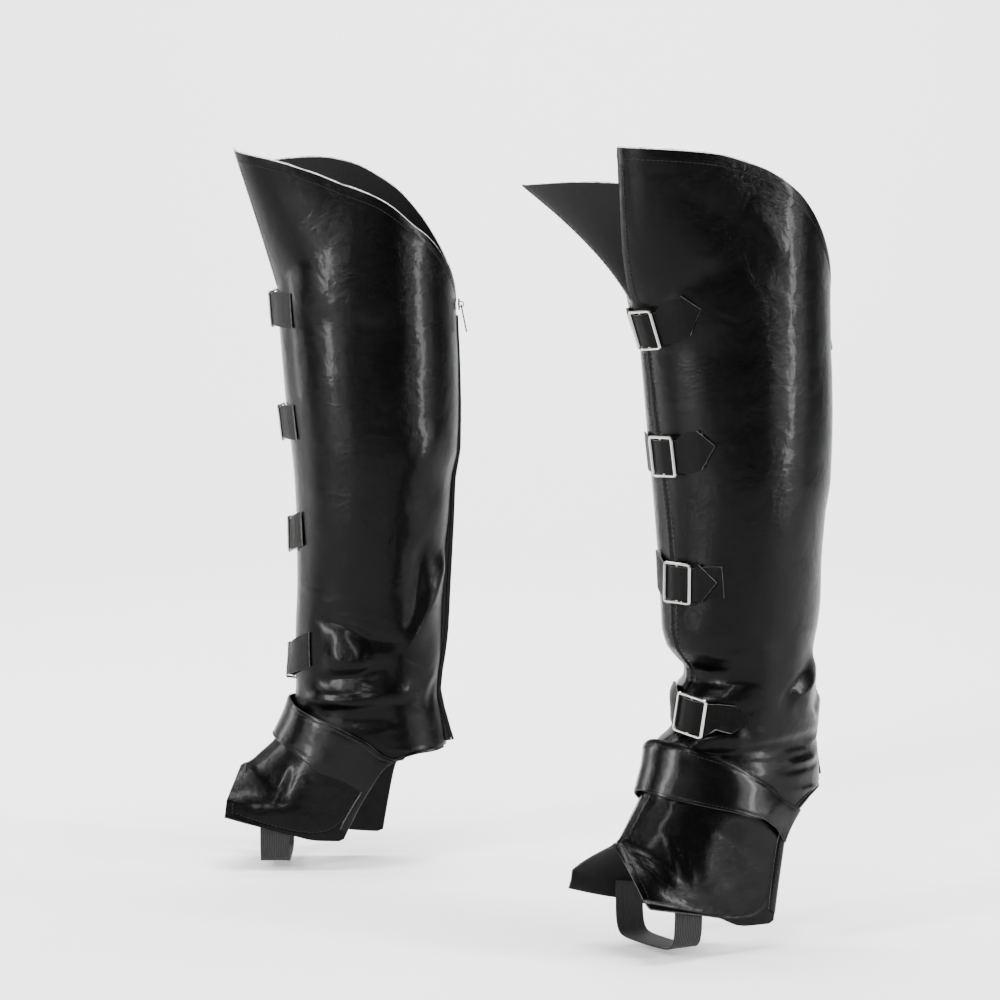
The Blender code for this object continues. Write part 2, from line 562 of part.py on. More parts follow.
def panel(cover, side, mat, coll):
    V, S = panel_rc(side, PANEL_TOP_ROWS, PANEL_ROWS, PANEL_COLS)
    L = row_length(side, V)
    # the two panels stay apart at the front seam, and leave room for the zip tapes at the back
    back = np.where(V >= HEM_BACK_ROW, 1.9, 0.0)
    front = table(V, FRONT_GAP)
    A = front + (L - back - front) * S
    G = panel_point(cover, side, V, A / L)
    out = COVERS[cover]["hand"] * (-1 if side == "lat" else 1)
    return sheet_object("%s_panel_%s" % (cover, PANEL_NAME[side]), G, PANEL_T, mat, coll, out, -1.0)


def buckle_frame(cover, k):
    """place of a buckle: centre, and unit vectors outward along the strap, up across it, and off the panel"""
    ve, ae, vb, ab, vt, at = STRAPS[k][:6]
    c = over(cover, vb, ab, 0.0)
    x = unit(over(cover, vb, ab + 12, 0.0) - over(cover, vb, ab - 12, 0.0))
    y = over(cover, vb + 13, ab, 0.0) - over(cover, vb - 13, ab, 0.0)
    z = unit(np.cross(x, unit(y))) * COVERS[cover]["hand"]
    y = unit(np.cross(z, x)) * COVERS[cover]["hand"]
    roll = math.atan2(float(strap_row(k, ab + 8.0) - strap_row(k, ab - 8.0)), 16.0)
    x, y = x * math.cos(roll) + y * math.sin(roll), -x * math.sin(roll) + y * math.cos(roll)
    return c + z * STRAPS[k][8 if cover == "left" else 9], x, y, z


def strap_row(k, a):
    ve, ae, vb, ab, vt, at = STRAPS[k][:6]
    return pchip(a, [ae, ab, at], [ve, vb, vt])


def strap_width(d):
    """full width, less inside the frame"""
    return STRAP_WAIST + (STRAP_W - STRAP_WAIST) * float(smooth((abs(d) - 13.5) / 6.0))


def strap_grid(cover, k, step, across):
    """middle layer of a buckle strap: stations along it, points across it, the last row a chevron"""
    ve, ae, vb, ab, vt, at = STRAPS[k][:6]
    loop = STRAPS[k][6 if cover == "left" else 7]
    c, x, y, z = buckle_frame(cover, k)
    inside, outside = np.array(STRAP_IN_FRAME), np.array(STRAP_OFF_PANEL)
    n_in = max(2, int(round((ab - 20.0 - ae) / step)))
    n_out = max(1, int(round((at - 12.0 - ab - 20.0) / step)))
    d = list(np.linspace(ae - ab, -20.0, n_in + 1))
    d += [t for t in inside[:, 0]] if step > 4 else list(np.arange(-14.5, 14.6, 1.45))
    last = at - 12.0 - ab
    d += list(np.linspace(20.0, last, n_out + 1)) if last > 22.0 else [max(last, 17.5)]
    rows = []
    for t in d:
        w = strap_width(t) / 2
        if abs(t) <= 14.6:
            h = float(pchip(t, inside[:, 0], inside[:, 1]))
            rows.append(c + x * t + y * (across * w)[:, None] + z * h)
        else:
            h = float(pchip(t, outside[:, 0], outside[:, 1]))
            if t < ae - ab + 6:
                h = 1.5
            h += loop * math.exp(-((t + 19.0) / 8.0) ** 2)
            rows.append(over(cover, strap_row(k, ab + t) + across * w, ab + t, h, t > 0))
    G = np.array(rows)
    # chevron point: the middle line runs on to the tip, the edges end at the shoulders
    tip = over(cover, vt, at, 2.4 if at - ab > 36.0 else 3.3, True)      # a short strap ends on its chape
    mid = G[-1][len(across) // 2]
    G = np.concatenate([G, (G[-1] + (tip - mid) * (1 - np.abs(across))[:, None] + (G[-1] - G[-2]) * 0.03)[None]])
    return G


def strap(cover, k, mat, coll):
    G = strap_grid(cover, k, 6.0, np.array((-1.0, 0.0, 1.0)))
    return sheet_object("%s_strap_%d" % (cover, k + 1), G[:, ::-1], STRAP_T, mat, coll, -COVERS[cover]["hand"], 0.0)


def buckle(cover, k, me, mat, coll):
    at, x, y, z = buckle_frame(cover, k)
    ob = bpy.data.objects.new("%s_buckle_%d" % (cover, k + 1), me)
    link(ob, coll, mat)
    ob.matrix_world = frame_matrix(to_model(at), x * COVERS[cover]["hand"], y, z)
    return ob


def chape(cover, k, mat, coll):
    """short strap that holds the middle bar: sewn on the panel beyond the buckle, rising to the bar under the strap"""
    ab = STRAPS[k][3]
    c, x, y, z = buckle_frame(cover, k)
    across = np.array((-1.0, 0.0, 1.0)) * 11.6
    rows = [c + x * d + y * across[:, None] + z * h for d, h in CHAPE_IN_FRAME]
    rows += [over(cover, strap_row(k, ab + d) + across, ab + d, h, True) for d, h in CHAPE_OFF_PANEL]
    return sheet_object("%s_chape_%d" % (cover, k + 1), np.array(rows)[:, ::-1], CHAPE_T, mat, coll, -COVERS[cover]["hand"], 0.0)


def band(cover, mat, coll):
    t = np.array(BAND)
    q = np.concatenate([np.linspace(-0.985, -0.2, 11), np.linspace(-0.12, 0.12, 5), np.linspace(0.2, 0.985, 11)])
    G = np.zeros((len(q), 4, 3))
    for i, qi in enumerate(q):
        vt, vl = pchip(qi, t[:, 0], t[:, 1]), pchip(qi, t[:, 0], t[:, 2])
        ot, ol = pchip(qi, t[:, 0], t[:, 3]), pchip(qi, t[:, 0], t[:, 4])
        side = "lat" if qi >= 0 else "med"
        for j, f in enumerate((0.0, 1/3, 2/3, 1.0)):
            v = vt + (vl - vt) * f
            off = ot + (ol - ot) * f + BAND_T / 2 + 0.6 * math.sin(math.pi * f)
            s = min(abs(qi), 0.985)
            G[i, j] = cloth(cover, side, v, s) + cloth_normal(cover, side, v, s) * off
    return sheet_object("%s_instep_strap" % cover, G, BAND_T, mat, coll, -COVERS[cover]["hand"], 0.0)


def back_frame(cover, v):
    """back line of the shaft: point, backward, sideways and upward directions"""
    p = cloth(cover, "lat", v, 1.0)
    up = unit(cloth(cover, "lat", min(v + 3, 600), 1.0) - cloth(cover, "lat", max(v - 3, HEM_BACK_ROW), 1.0))
    t = math.radians(float(table(v, COVERS[cover]["turn"])))
    back = world(cover, np.array([-math.cos(t), -math.sin(t), 0.0])) - world(cover, np.zeros(3))
    back = unit(back - up * (back @ up))
    side = unit(np.cross(up, back))
    return p, back, side, up


def strip(cover, name, v_rows, n0, n1, y, thick, mat, coll):
    """a strip standing along the back line, from n0 to n1 behind it, its middle layer at y to the side"""
    G = np.zeros((len(v_rows), 2, 3))
    for i, v in enumerate(v_rows):
        p, back, side, up = back_frame(cover, v)
        f = float(table(v, FIN))
        for j, n in enumerate((n0, n1)):
            d = n(f)
            G[i, j] = p + back * d + side * y
    return sheet_object(name, G, thick, mat, coll, 1, 0.0)


ZIP_ROWS = (474, 460, 440, 415, 385, 350, 323, 290, 258, 232, 214, 200, 181, 165, 150, 136, 124, 114)


def zip_parts(cover, mats, coll, slider, tab):
    for side, y in (("outer", 0.7), ("inner", -0.7)):
        strip(cover, "%s_zip_tape_%s" % (cover, side), ZIP_ROWS, lambda f: -TAPE_IN, lambda f: f - CHAIN_W - GAP, y, TAPE_T, mats["tape"], coll)
    strip(cover, "%s_zip_chain" % cover, (459,) + ZIP_ROWS[2:], lambda f: f - CHAIN_W, lambda f: f, 0.0, CHAIN_T, mats["chain"], coll)
    p, back, side, up = back_frame(cover, 468.0)
    f = float(table(468.0, FIN))
    at = p + back * (f + GAP)
    ob = bpy.data.objects.new("%s_zip_slider" % cover, slider)
    link(ob, coll, mats["metal"])
    ob.matrix_world = frame_matrix(to_model(at), back, side, up)
    hinge = at + back * 2.4
    lean = math.radians(PULL_LEAN)
    plumb = np.array([0.0, 0.0, -1.0])
    flat_back = unit(back - np.array([0, 0, back[2]]))
    down = plumb * math.cos(lean) + flat_back * math.sin(lean)
    across = unit(np.cross(down, flat_back))
    ob = bpy.data.objects.new("%s_zip_pull" % cover, tab)
    link(ob, coll, mats["metal"])
    ob.matrix_world = frame_matrix(to_model(hinge), across, down, np.cross(across, down))
    return to_model(hinge), -across


def stirrup(cover, mat, coll):
    """elastic band from inside one lower edge, across the open underside, to inside the other"""
    xm = STIRRUP_X[cover]
    hand = COVERS[cover]["hand"]
    G = []
    path = ((39.2, 46.0), (39.2, 36.0), (38.8, 24.0), (37.0, 14.0), (32.0, 8.5), (22.0, STIRRUP_Z + 0.4), (0.0, STIRRUP_Z))
    path = path + tuple((-y, z) for y, z in path[-2::-1])
    for y, z in path:
        row = []
        for x in (xm - STIRRUP_W/2, xm, xm + STIRRUP_W/2):
            tuck = 1.0 if z > 30 else 0.0
            lift = 0.14 * (x - xm) * tuck
            row.append(world(cover, np.array([x, y, z + lift])))
        G.append(row)
    G = np.array(G)
    return sheet_object("%s_stirrup" % cover, G, STIRRUP_T, mat, coll, hand, 0.0)


def main():
    for ob in list(bpy.data.objects):
        bpy.data.objects.remove(ob, do_unlink=True)
    coll = bpy.data.collections.new("boot_covers")
    helpers = bpy.data.collections.new("helpers")
    for c in (coll, helpers):
        bpy.context.scene.collection.children.link(c)
    mats = {
        "leather": material("leather", (0.012, 0.012, 0.013), 0.33),
        "strap": material("strap_leather", (0.014, 0.014, 0.015), 0.5),
        "tape": material("zip_tape", (0.01, 0.01, 0.011), 0.85),
        "chain": material("zip_chain", (0.02, 0.02, 0.021), 0.4),
        "metal": material("nickel", (0.72, 0.70, 0.66), 0.18, 1.0),
        "elastic": material("elastic", (0.012, 0.012, 0.013), 0.8),
    }
    b_mesh, s_mesh, p_mesh = buckle_mesh(helpers), slider_mesh(helpers), pull_mesh(helpers)
    hinges = {}
    for cover in ("left", "right"):
        for side in ("lat", "med"):
            panel(cover, side, mats["leather"], coll)
        band(cover, mats["leather"], coll)
        for k in range(len(STRAPS)):
            strap(cover, k, mats["strap"], coll)
            buckle(cover, k, b_mesh, mats["metal"], coll)
            chape(cover, k, mats["strap"], coll)
        hinges[cover] = zip_parts(cover, mats, coll, s_mesh, p_mesh)
        stirrup(cover, mats["elastic"], coll)
    return hinges


hinges = main()
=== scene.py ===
"""Looks of the pair of boot covers: fine cloth, straps, stitching and studio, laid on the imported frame."""

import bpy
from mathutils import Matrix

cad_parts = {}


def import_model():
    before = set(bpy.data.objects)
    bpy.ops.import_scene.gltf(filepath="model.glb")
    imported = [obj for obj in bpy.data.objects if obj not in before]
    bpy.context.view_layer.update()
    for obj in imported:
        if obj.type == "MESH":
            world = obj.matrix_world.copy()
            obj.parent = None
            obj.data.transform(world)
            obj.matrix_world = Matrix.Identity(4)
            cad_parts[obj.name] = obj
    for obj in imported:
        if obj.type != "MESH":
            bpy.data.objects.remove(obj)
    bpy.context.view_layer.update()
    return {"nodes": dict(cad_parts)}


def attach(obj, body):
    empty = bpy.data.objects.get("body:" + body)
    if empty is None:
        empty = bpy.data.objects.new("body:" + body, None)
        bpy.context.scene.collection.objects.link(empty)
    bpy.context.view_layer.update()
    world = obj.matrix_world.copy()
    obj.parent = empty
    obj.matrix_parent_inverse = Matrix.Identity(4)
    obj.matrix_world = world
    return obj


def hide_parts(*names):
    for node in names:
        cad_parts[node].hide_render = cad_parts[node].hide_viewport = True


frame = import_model()

import math

import bmesh
import bpy
import numpy as np
from mathutils import Vector

# ------------------------------------------------------------------ sizes and rows, as in the solid model (mm)

PANEL_T = 1.5            # wall of the two panels
STRAP_W, STRAP_WAIST = 28.4, 24.6     # buckle straps, and their width inside the frame
STRAP_T = 1.2
BAND_T = 2.2             # instep strap, doubled
CHAPE_T = 1.0
BUCKLE_H, BUCKLE_W = 31.0, 27.0      # outer size of a buckle frame
BUCKLE_WIRE = 2.4
BUCKLE_BAR = 1.8
TAPE_T = 1.0             # one zip tape
TAPE_IN = 4.0            # tape reaches this far inside the panel
CHAIN_W, CHAIN_T = 2.1, 2.2
RING_R, RING_WIRE = 2.3, 1.0         # ring on the slider
PULL_L, PULL_W, PULL_T = 23.5, 5.0, 1.2
PULL_LEAN = 11.4         # degrees off the plumb line
STIRRUP_W, STIRRUP_T = 24.0, 1.3
STIRRUP_Z = 6.5          # height of its underside span
GAP = 0.3
ORIGIN = (36.0, 155.5, 380.0)        # of the model, in the standing frame of the tables

# ---- one cover, millimetres, in its own frame: x forward, y outward to its side, z up from the ground ----
# rows of the shaft: front point, side point, back point; shared by both panels
SHAFT = (
    # v    xf     zf     xs    ys    zs     xe     ye    ze    e
    (600, 80.0, 600.0,  2.0, 62.0, 600.0, -68.0,  0.0, 600.0, 1.0),
    (540, 79.0, 540.0,  2.0, 63.0, 540.0, -69.0,  0.0, 540.0, 1.0),
    (483, 78.0, 483.0,  2.0, 64.0, 483.0, -69.5,  0.0, 483.0, 1.0),
    (446, 76.0, 446.0,  1.0, 64.0, 446.0, -70.5,  0.0, 446.0, 1.0),
    (426, 74.5, 426.0,  1.0, 64.0, 426.0, -71.5,  0.0, 426.0, 1.0),
    (385, 71.0, 385.0,  0.0, 64.0, 385.0, -72.0,  0.0, 385.0, 1.0),
    (350, 67.0, 350.0,  0.0, 63.5, 350.0, -71.0,  0.0, 350.0, 1.0),
    (323, 64.5, 323.0,  0.0, 62.0, 323.0, -66.0,  0.0, 323.0, 1.0),
    (290, 63.0, 290.0,  0.0, 58.0, 290.0, -63.5,  0.0, 290.0, 1.0),
    (239, 62.5, 239.0,  1.0, 50.0, 239.0, -59.5,  0.0, 239.0, 1.0),
    (200, 64.0, 200.0,  2.0, 46.0, 200.0, -58.0,  0.0, 200.0, 1.0),
    (177, 64.5, 177.0,  3.0, 44.0, 177.0, -57.0,  0.0, 177.0, 1.0),
    (150, 64.0, 150.0,  4.0, 42.0, 150.0, -54.0,  0.0, 147.0, 1.0),
    (130, 68.0, 131.0,  6.0, 41.0, 127.0, -58.0,  0.0, 122.0, 1.0),
)
# rows that fan out over the spat: their ends run along the hem, then along the lower edge
FOOT_OUTER = (
    (112, 75.0, 116.0,  8.0, 41.0, 108.0, -61.5,  0.0, 101.0, 1.0),
    (100, 81.0, 107.0, 15.0, 41.0,  99.0, -47.0, 25.0, 100.0, 1.05),
    ( 90, 85.0, 103.0, 22.0, 41.0,  92.0, -34.0, 32.0,  94.5, 1.1),
    ( 80, 89.0,  99.0, 30.0, 41.0,  86.0, -25.0, 36.0,  88.0, 1.15),
    ( 68, 93.0,  96.0, 38.0, 41.0,  79.0, -18.0, 38.0,  78.0, 1.2),
    ( 56, 97.0,  92.5, 46.0, 41.0,  71.0, -14.5, 39.0,  64.0, 1.25),
    ( 44, 101.0, 89.0, 54.0, 41.5,  62.0, -11.0, 39.0,  45.0, 1.3),
    ( 32, 104.0, 87.0, 62.0, 42.0,  53.0,  -6.5, 39.5,  19.0, 1.35),
    ( 24, 106.0, 86.0, 76.0, 42.5,  52.0,  22.0, 40.5,  20.5, 1.45),
    ( 16, 108.0, 85.3, 90.0, 43.0,  52.0,  50.0, 43.0,  31.5, 1.6),
    (  8, 109.3, 84.8, 102.0, 43.5, 52.0,  80.0, 45.5,  38.5, 1.75),
    (  0, 110.5, 84.0, 114.0, 43.5, 52.0, 109.5, 47.0,  45.0, 1.9),
)
FOOT_INNER = (
    (112, 75.0, 116.0,  8.0, 41.0, 108.0, -61.5,  0.0, 101.0, 1.0),
    (100, 81.0, 107.0, 18.0, 41.0,  99.0, -47.0, 24.0,  98.5, 1.05),
    ( 90, 85.0, 103.0, 28.0, 41.0,  92.0, -30.0, 33.0,  95.0, 1.1),
    ( 80, 89.0,  99.0, 38.0, 41.0,  86.0, -15.0, 37.0,  91.0, 1.15),
    ( 68, 93.0,  96.0, 46.0, 41.0,  79.0,  -6.0, 38.0,  80.0, 1.2),
    ( 56, 97.0,  92.5, 54.0, 41.0,  71.0,   3.0, 38.0,  66.0, 1.25),
    ( 44, 101.0, 89.0, 61.0, 41.0,  62.0,  13.0, 38.5,  48.0, 1.3),
    ( 32, 104.0, 87.0, 68.0, 42.0,  54.0,  24.0, 39.0,  25.0, 1.35),
    ( 24, 106.0, 86.0, 82.0, 43.0,  54.0,  45.0, 40.0,  25.5, 1.4),
    ( 16, 108.0, 85.3, 95.0, 43.5,  55.0,  68.0, 42.0,  31.0, 1.5),
    (  8, 109.3, 84.8, 108.0, 43.5, 57.0,  92.0, 44.0,  38.0, 1.6),
    (  0, 110.5, 84.0, 120.0, 42.5, 60.0, 121.5, 45.0,  47.0, 1.7),
)
HEM_BACK_ROW = 112.0          # the row whose end is the hem's back corner
HEM_LOW_ROW = 32.0            # the row whose end is the spat's rear lower corner
SLIT_Z = 480.0                # bottom of the front slit
FOLD_SLANT = 0.4              # rise of a flap's fold line for each mm of arc

# height of the top edge round each panel, s = 0 front edge .. 1 back edge
TOP_EDGE = (
    # s      outer   inner panel
    (0.00, 597.0, 596.0),
    (0.20, 595.0, 587.0),
    (0.33, 592.0, 576.5),
    (0.42, 586.0, 567.5),
    (0.48, 581.0, 563.0),
    (0.55, 572.5, 557.0),
    (0.62, 562.5, 548.0),
    (0.70, 546.0, 534.0),
    (0.77, 529.0, 524.0),
    (0.85, 509.5, 509.0),
    (0.92, 494.0, 496.0),
    (1.00, 477.0, 477.0),
)

def pchip(x, xs, ys):
    """smooth curve through a table without overshoot; xs rising"""
    x = np.asarray(x, float); xs = np.asarray(xs, float); ys = np.asarray(ys, float)
    h = np.diff(xs); d = np.diff(ys) / h
    m = np.zeros_like(ys)
    if len(xs) == 2:
        m[:] = d[0]
    else:
        w1 = 2 * h[1:] + h[:-1]; w2 = h[1:] + 2 * h[:-1]
        same = d[:-1] * d[1:] > 0
        with np.errstate(divide="ignore", invalid="ignore"):
            harm = (w1 + w2) / (w1 / d[:-1] + w2 / d[1:])
        m[1:-1] = np.where(same, harm, 0.0)
        m[0], m[-1] = d[0], d[-1]
    k = np.clip(np.searchsorted(xs, x, side="right") - 1, 0, len(xs) - 2)
    t = np.clip((x - xs[k]) / h[k], 0, 1)
    h00 = 2*t**3 - 3*t**2 + 1; h10 = t**3 - 2*t**2 + t
    h01 = -2*t**3 + 3*t**2; h11 = t**3 - t**2
    return h00*ys[k] + h10*h[k]*m[k] + h01*ys[k+1] + h11*h[k]*m[k+1]

_T = {"lat": np.array(sorted(SHAFT + FOOT_OUTER), float), "med": np.array(sorted(SHAFT + FOOT_INNER), float)}

def row_values(side, v):
    v = np.asarray(v, float)
    R = _T[side]
    A = R[:, 0]
    cols = [pchip(v, A, R[:, c]) for c in range(1, 6)]
    cuts = (-1.0, HEM_LOW_ROW, HEM_BACK_ROW, 601.0)
    for c in range(6, 9):
        out = np.zeros_like(v)
        for lo, hi in zip(cuts[:-1], cuts[1:]):
            pick = (A >= lo) & (A <= hi)
            here = (v >= lo) & (v <= hi)
            out = np.where(here, pchip(v, A[pick], R[pick, c]), out)
        cols.append(out)
    cols.append(pchip(v, A, R[:, 9]))
    return cols

NPHI = 41
_PH = np.linspace(0, 2, NPHI)

def base(side, v, s, out_len=False):
    """point of the plain cover (outer side y > 0) on row v, at the part s of its arc from the front"""
    v, s = np.broadcast_arrays(np.asarray(v, float), np.asarray(s, float))
    shape = v.shape; v = v.ravel(); s = s.ravel()
    xf, zf, xs, ys, zs, xe, ye, ze, e = [c[:, None] for c in row_values(side, v)]
    u = _PH[None, :]
    c1 = np.abs(np.cos(np.minimum(u, 1) * math.pi/2)) ** e
    s1 = np.abs(np.sin(np.minimum(u, 1) * math.pi/2)) ** e
    c2, s2 = np.cos(np.maximum(u - 1, 0) * math.pi/2), np.sin(np.maximum(u - 1, 0) * math.pi/2)
    first = u <= 1
    px = np.where(first, xs + (xf-xs)*c1, xs + (xe-xs)*s2)
    py = np.where(first, ys*s1, ye + (ys-ye)*c2)
    pz = np.where(first, zs + (zf-zs)*c1, zs + (ze-zs)*s2)
    P = np.stack([px, py, pz], -1)
    seg = np.linalg.norm(np.diff(P, axis=1), axis=2)
    L = np.concatenate([np.zeros((len(v), 1)), np.cumsum(seg, 1)], 1)
    tot = L[:, -1]
    want = np.clip(s, 0, 1) * tot
    k = np.clip((L <= want[:, None]).sum(1) - 1, 0, NPHI - 2)
    i = np.arange(len(v))
    f = (want - L[i, k]) / np.maximum(seg[i, k], 1e-9)
    out = P[i, k] + (P[i, k+1] - P[i, k]) * f[:, None]
    out = out.reshape(shape + (3,))
    if out_len:
        return out, tot.reshape(shape)
    return out

def smooth(x):
    x = np.clip(x, 0, 1)
    return x*x*(3 - 2*x)

# how each cover stands and how its flaps lie open
#  flap: tip moved forward / outward / up, reach back along the top edge, sharpness of its fold
COVERS = {
    "left": dict(x=178.0, y=0.0, yaw=32.0, hand=1,
                 turn=((600, -8.0), (480, -8.0), (443, -6.0), (350, -1.0), (258, 4.0), (210, 4.0), (150, 1.0), (112, 0.0), (0, 0.0)),
                 front=((600, 4.0), (497, 10.0), (480, 8.0), (446, 0.0), (258, -2.0), (242, -2.0), (228, -6.0), (217, -14.0), (208, -21.0), (200, -22.0), (192, -18.0),
                        (181, -14.0), (169, -15.0), (158, -15.0), (150, -9.0), (143, 0.0), (136, 4.0), (125, 2.0), (112, 0.0), (0, 0.0)),
                 back=((600, 0.0), (446, 0.0), (300, -2.0), (258, -6.0), (242, -7.0), (228, -5.5), (214, -4.0), (206, -5.0), (194, -10.0),
                       (181, -16.0), (169, -20.0), (153, -20.0), (140, -16.0), (112, -11.0), (100, -9.0), (90, -6.0), (80, -3.0), (68, 0.0), (0, 0.0)),
                 lift=((600, 0.0), (230, 0.0), (200, 3.0), (177, 8.0), (150, 14.0), (130, 16.0), (112, 17.0), (100, 13.0), (90, 11.0), (80, 9.0),
                       (68, 6.0), (56, 4.0), (44, 2.0), (32, 0.0), (0, -1.0)),
                 flap={"lat": (30.0, 26.0, 0.0, 105.0, 0.65), "med": (72.0, 46.0, -27.0, 120.0, 1.3)}),
    "right": dict(x=-106.0, y=311.0, yaw=0.0, hand=-1,
                 turn=((600, 0.0), (0, 0.0)),
                 front=((600, 0.0), (0, 0.0)),
                 back=((600, 0.0), (0, 0.0)),
                 lift=((600, 0.0), (0, 0.0)),
                 flap={"lat": (31.0, 20.0, -14.0, 100.0, 1.1), "med": (32.0, 28.0, 0.0, 100.0, 1.05)}),
}

def table(x, rows):
    r = np.array(sorted(rows), float)
    return pchip(x, r[:, 0], r[:, 1])

def local(cover, side, v, s):
    """surface point in the cover's own frame; side 'lat' outward, 'med' inward"""
    c = COVERS[cover]
    P, L = base(side, v, s, True)
    v, s = np.broadcast_arrays(np.asarray(v, float), np.asarray(s, float))
    x, y, z = P[..., 0].copy(), P[..., 1].copy(), P[..., 2].copy()
    x = x + table(v, c["front"]) * np.clip(x / 64.0, 0, 1) + table(v, c["back"]) * np.clip(-x / 62.0, 0, 1)
    z = z + table(v, c["lift"])
    fx, fy, fz, reach, p = c["flap"][side]
    a = s * L
    # the fold of a flap starts at the slit's foot and runs up and back
    foot = SLIT_Z + FOLD_SLANT * np.minimum(a, 90.0)
    r = np.clip((v - foot) / (596.0 - foot), 0, 1.05) ** p
    w = smooth(1 - a / reach)
    x = x + fx * r * w
    y = y + fy * r * w
    z = z + fz * r * w
    y = y * (1 if side == "lat" else -1)
    t = np.radians(table(v, c["turn"]))
    # a positive turn swings the front towards the outer side
    x, y = x*np.cos(t) - y*np.sin(t), x*np.sin(t) + y*np.cos(t)
    return np.stack([x, y, z], -1)

def world(cover, P):
    """to the shared standing frame (mm): X right, Y away, Z up from the ground"""
    c = COVERS[cover]
    h = c["hand"]
    a = math.radians(c["yaw"])
    x, y, z = P[..., 0], P[..., 1], P[..., 2]
    # forward is -X, turned by the yaw towards -Y; outward is -Y (left) or +Y (right)
    fx, fy = -math.cos(a), -math.sin(a)
    ox, oy = math.sin(a)*h, -math.cos(a)*h
    return np.stack([c["x"] + x*fx + y*ox, c["y"] + x*fy + y*oy, z], -1)

def top_row(side, s):
    t = np.array(TOP_EDGE, float)
    return pchip(s, t[:, 0], t[:, 1 if side == "lat" else 2])

def panel_rc(side, nrow_top, rows_below, cols):
    """row and column coordinates of a panel grid: cols of s, rows from the top edge to the spat's front edge"""
    s = np.asarray(cols, float)
    top = top_row(side, s)
    base_row = rows_below[0]
    V = []
    for j in range(nrow_top):
        f = j / nrow_top
        V.append(top + (base_row - top) * f)
    for r in rows_below:
        V.append(np.full_like(s, r))
    V = np.array(V)
    S = np.broadcast_to(s, V.shape)
    return V, S

# buckle straps: rows and arc positions (mm, + outward) of the sewn end, the buckle and the tip; how far it stands off in front
STRAPS = (
    # v_end  a_end  v_buckle  a_buckle  v_tip  a_tip  loop_left  loop_right  rise_left  rise_right
    (464.0, -39.0, 465.0, 12.0, 480.0, 58.5, 0.0, 0.5, 5.6, 5.6),
    (372.0, -31.0, 371.0,  8.5, 380.0, 51.0, 0.0, 0.5, 5.6, 5.6),
    (284.0, -26.0, 277.0,  9.0, 279.0, 38.5, 0.5, 1.0, 5.6, 5.6),
    (184.0, -32.0, 169.0, 14.0, 163.0, 59.0, 6.0, 2.0, 10.5, 5.6),
)
# lie of a strap: inside the frame, along the strap from the middle bar and out of the frame's plane; outside it, off the panel
STRAP_IN_FRAME = ((-14.5, -2.5), (-12.3, -2.1), (-8.0, -0.3), (-3.0, 1.6), (0.0, 1.75), (3.0, 1.6), (8.0, -0.4), (12.3, -2.1), (14.5, -2.5))
STRAP_OFF_PANEL = ((-60.0, 1.5), (-34.0, 1.6), (-27.0, 2.4), (-20.0, 4.2), (20.0, 3.9), (28.0, 3.3), (36.0, 2.8), (60.0, 2.2))
CHAPE_IN_FRAME = ((2.9, -0.7), (7.5, -2.0), (13.0, -4.0))
CHAPE_OFF_PANEL = ((20.0, 1.5), (27.0, 1.5), (34.0, 1.5))
# instep strap: -1 inner end .. +1 outer end; rows of its two edges and their distance off the panel
BAND = (
    # q      v_top  v_low  off_top off_low
    (-1.00,  84.0,  54.0, 1.0, 1.0),
    (-0.77,  96.0,  64.0, 1.3, 1.1),
    (-0.57, 109.0,  74.0, 2.2, 1.3),
    (-0.35, 124.0,  85.0, 5.0, 2.0),
    (-0.20, 131.0,  92.0, 6.0, 3.0),
    ( 0.00, 140.0, 100.0, 4.0, 3.0),
    ( 0.10, 140.0,  98.0, 3.2, 3.0),
    ( 0.225, 135.0, 96.0, 3.0, 4.0),
    ( 0.34, 128.0,  94.0, 3.0, 6.0),
    ( 0.50, 115.0,  92.0, 2.6, 8.0),
    ( 0.665, 104.5, 88.0, 2.2, 8.0),
    ( 0.81,  96.0,  79.0, 1.6, 6.0),
    ( 0.92,  90.0,  71.0, 1.3, 3.0),
    ( 1.00,  86.0,  63.0, 1.0, 1.0),
)
# half the gap between the panels at the front seam: wider where the spat's top is a ridge, so that the walls stay apart inside
FRONT_GAP = ((600, 0.18), (140, 0.18), (112, 0.22), (80, 0.5), (50, 0.85), (0, 1.15))
# how far the zip's fin stands out behind the panels
FIN = ((477, 1.2), (430, 1.4), (350, 2.4), (300, 4.0), (240, 5.6), (200, 5.2), (165, 3.0), (150, 2.8), (125, 5.0), (112, 7.0))
STIRRUP_X = {"left": 70.5, "right": 80.5}      # middle of the stirrup, forward of the shaft's axis

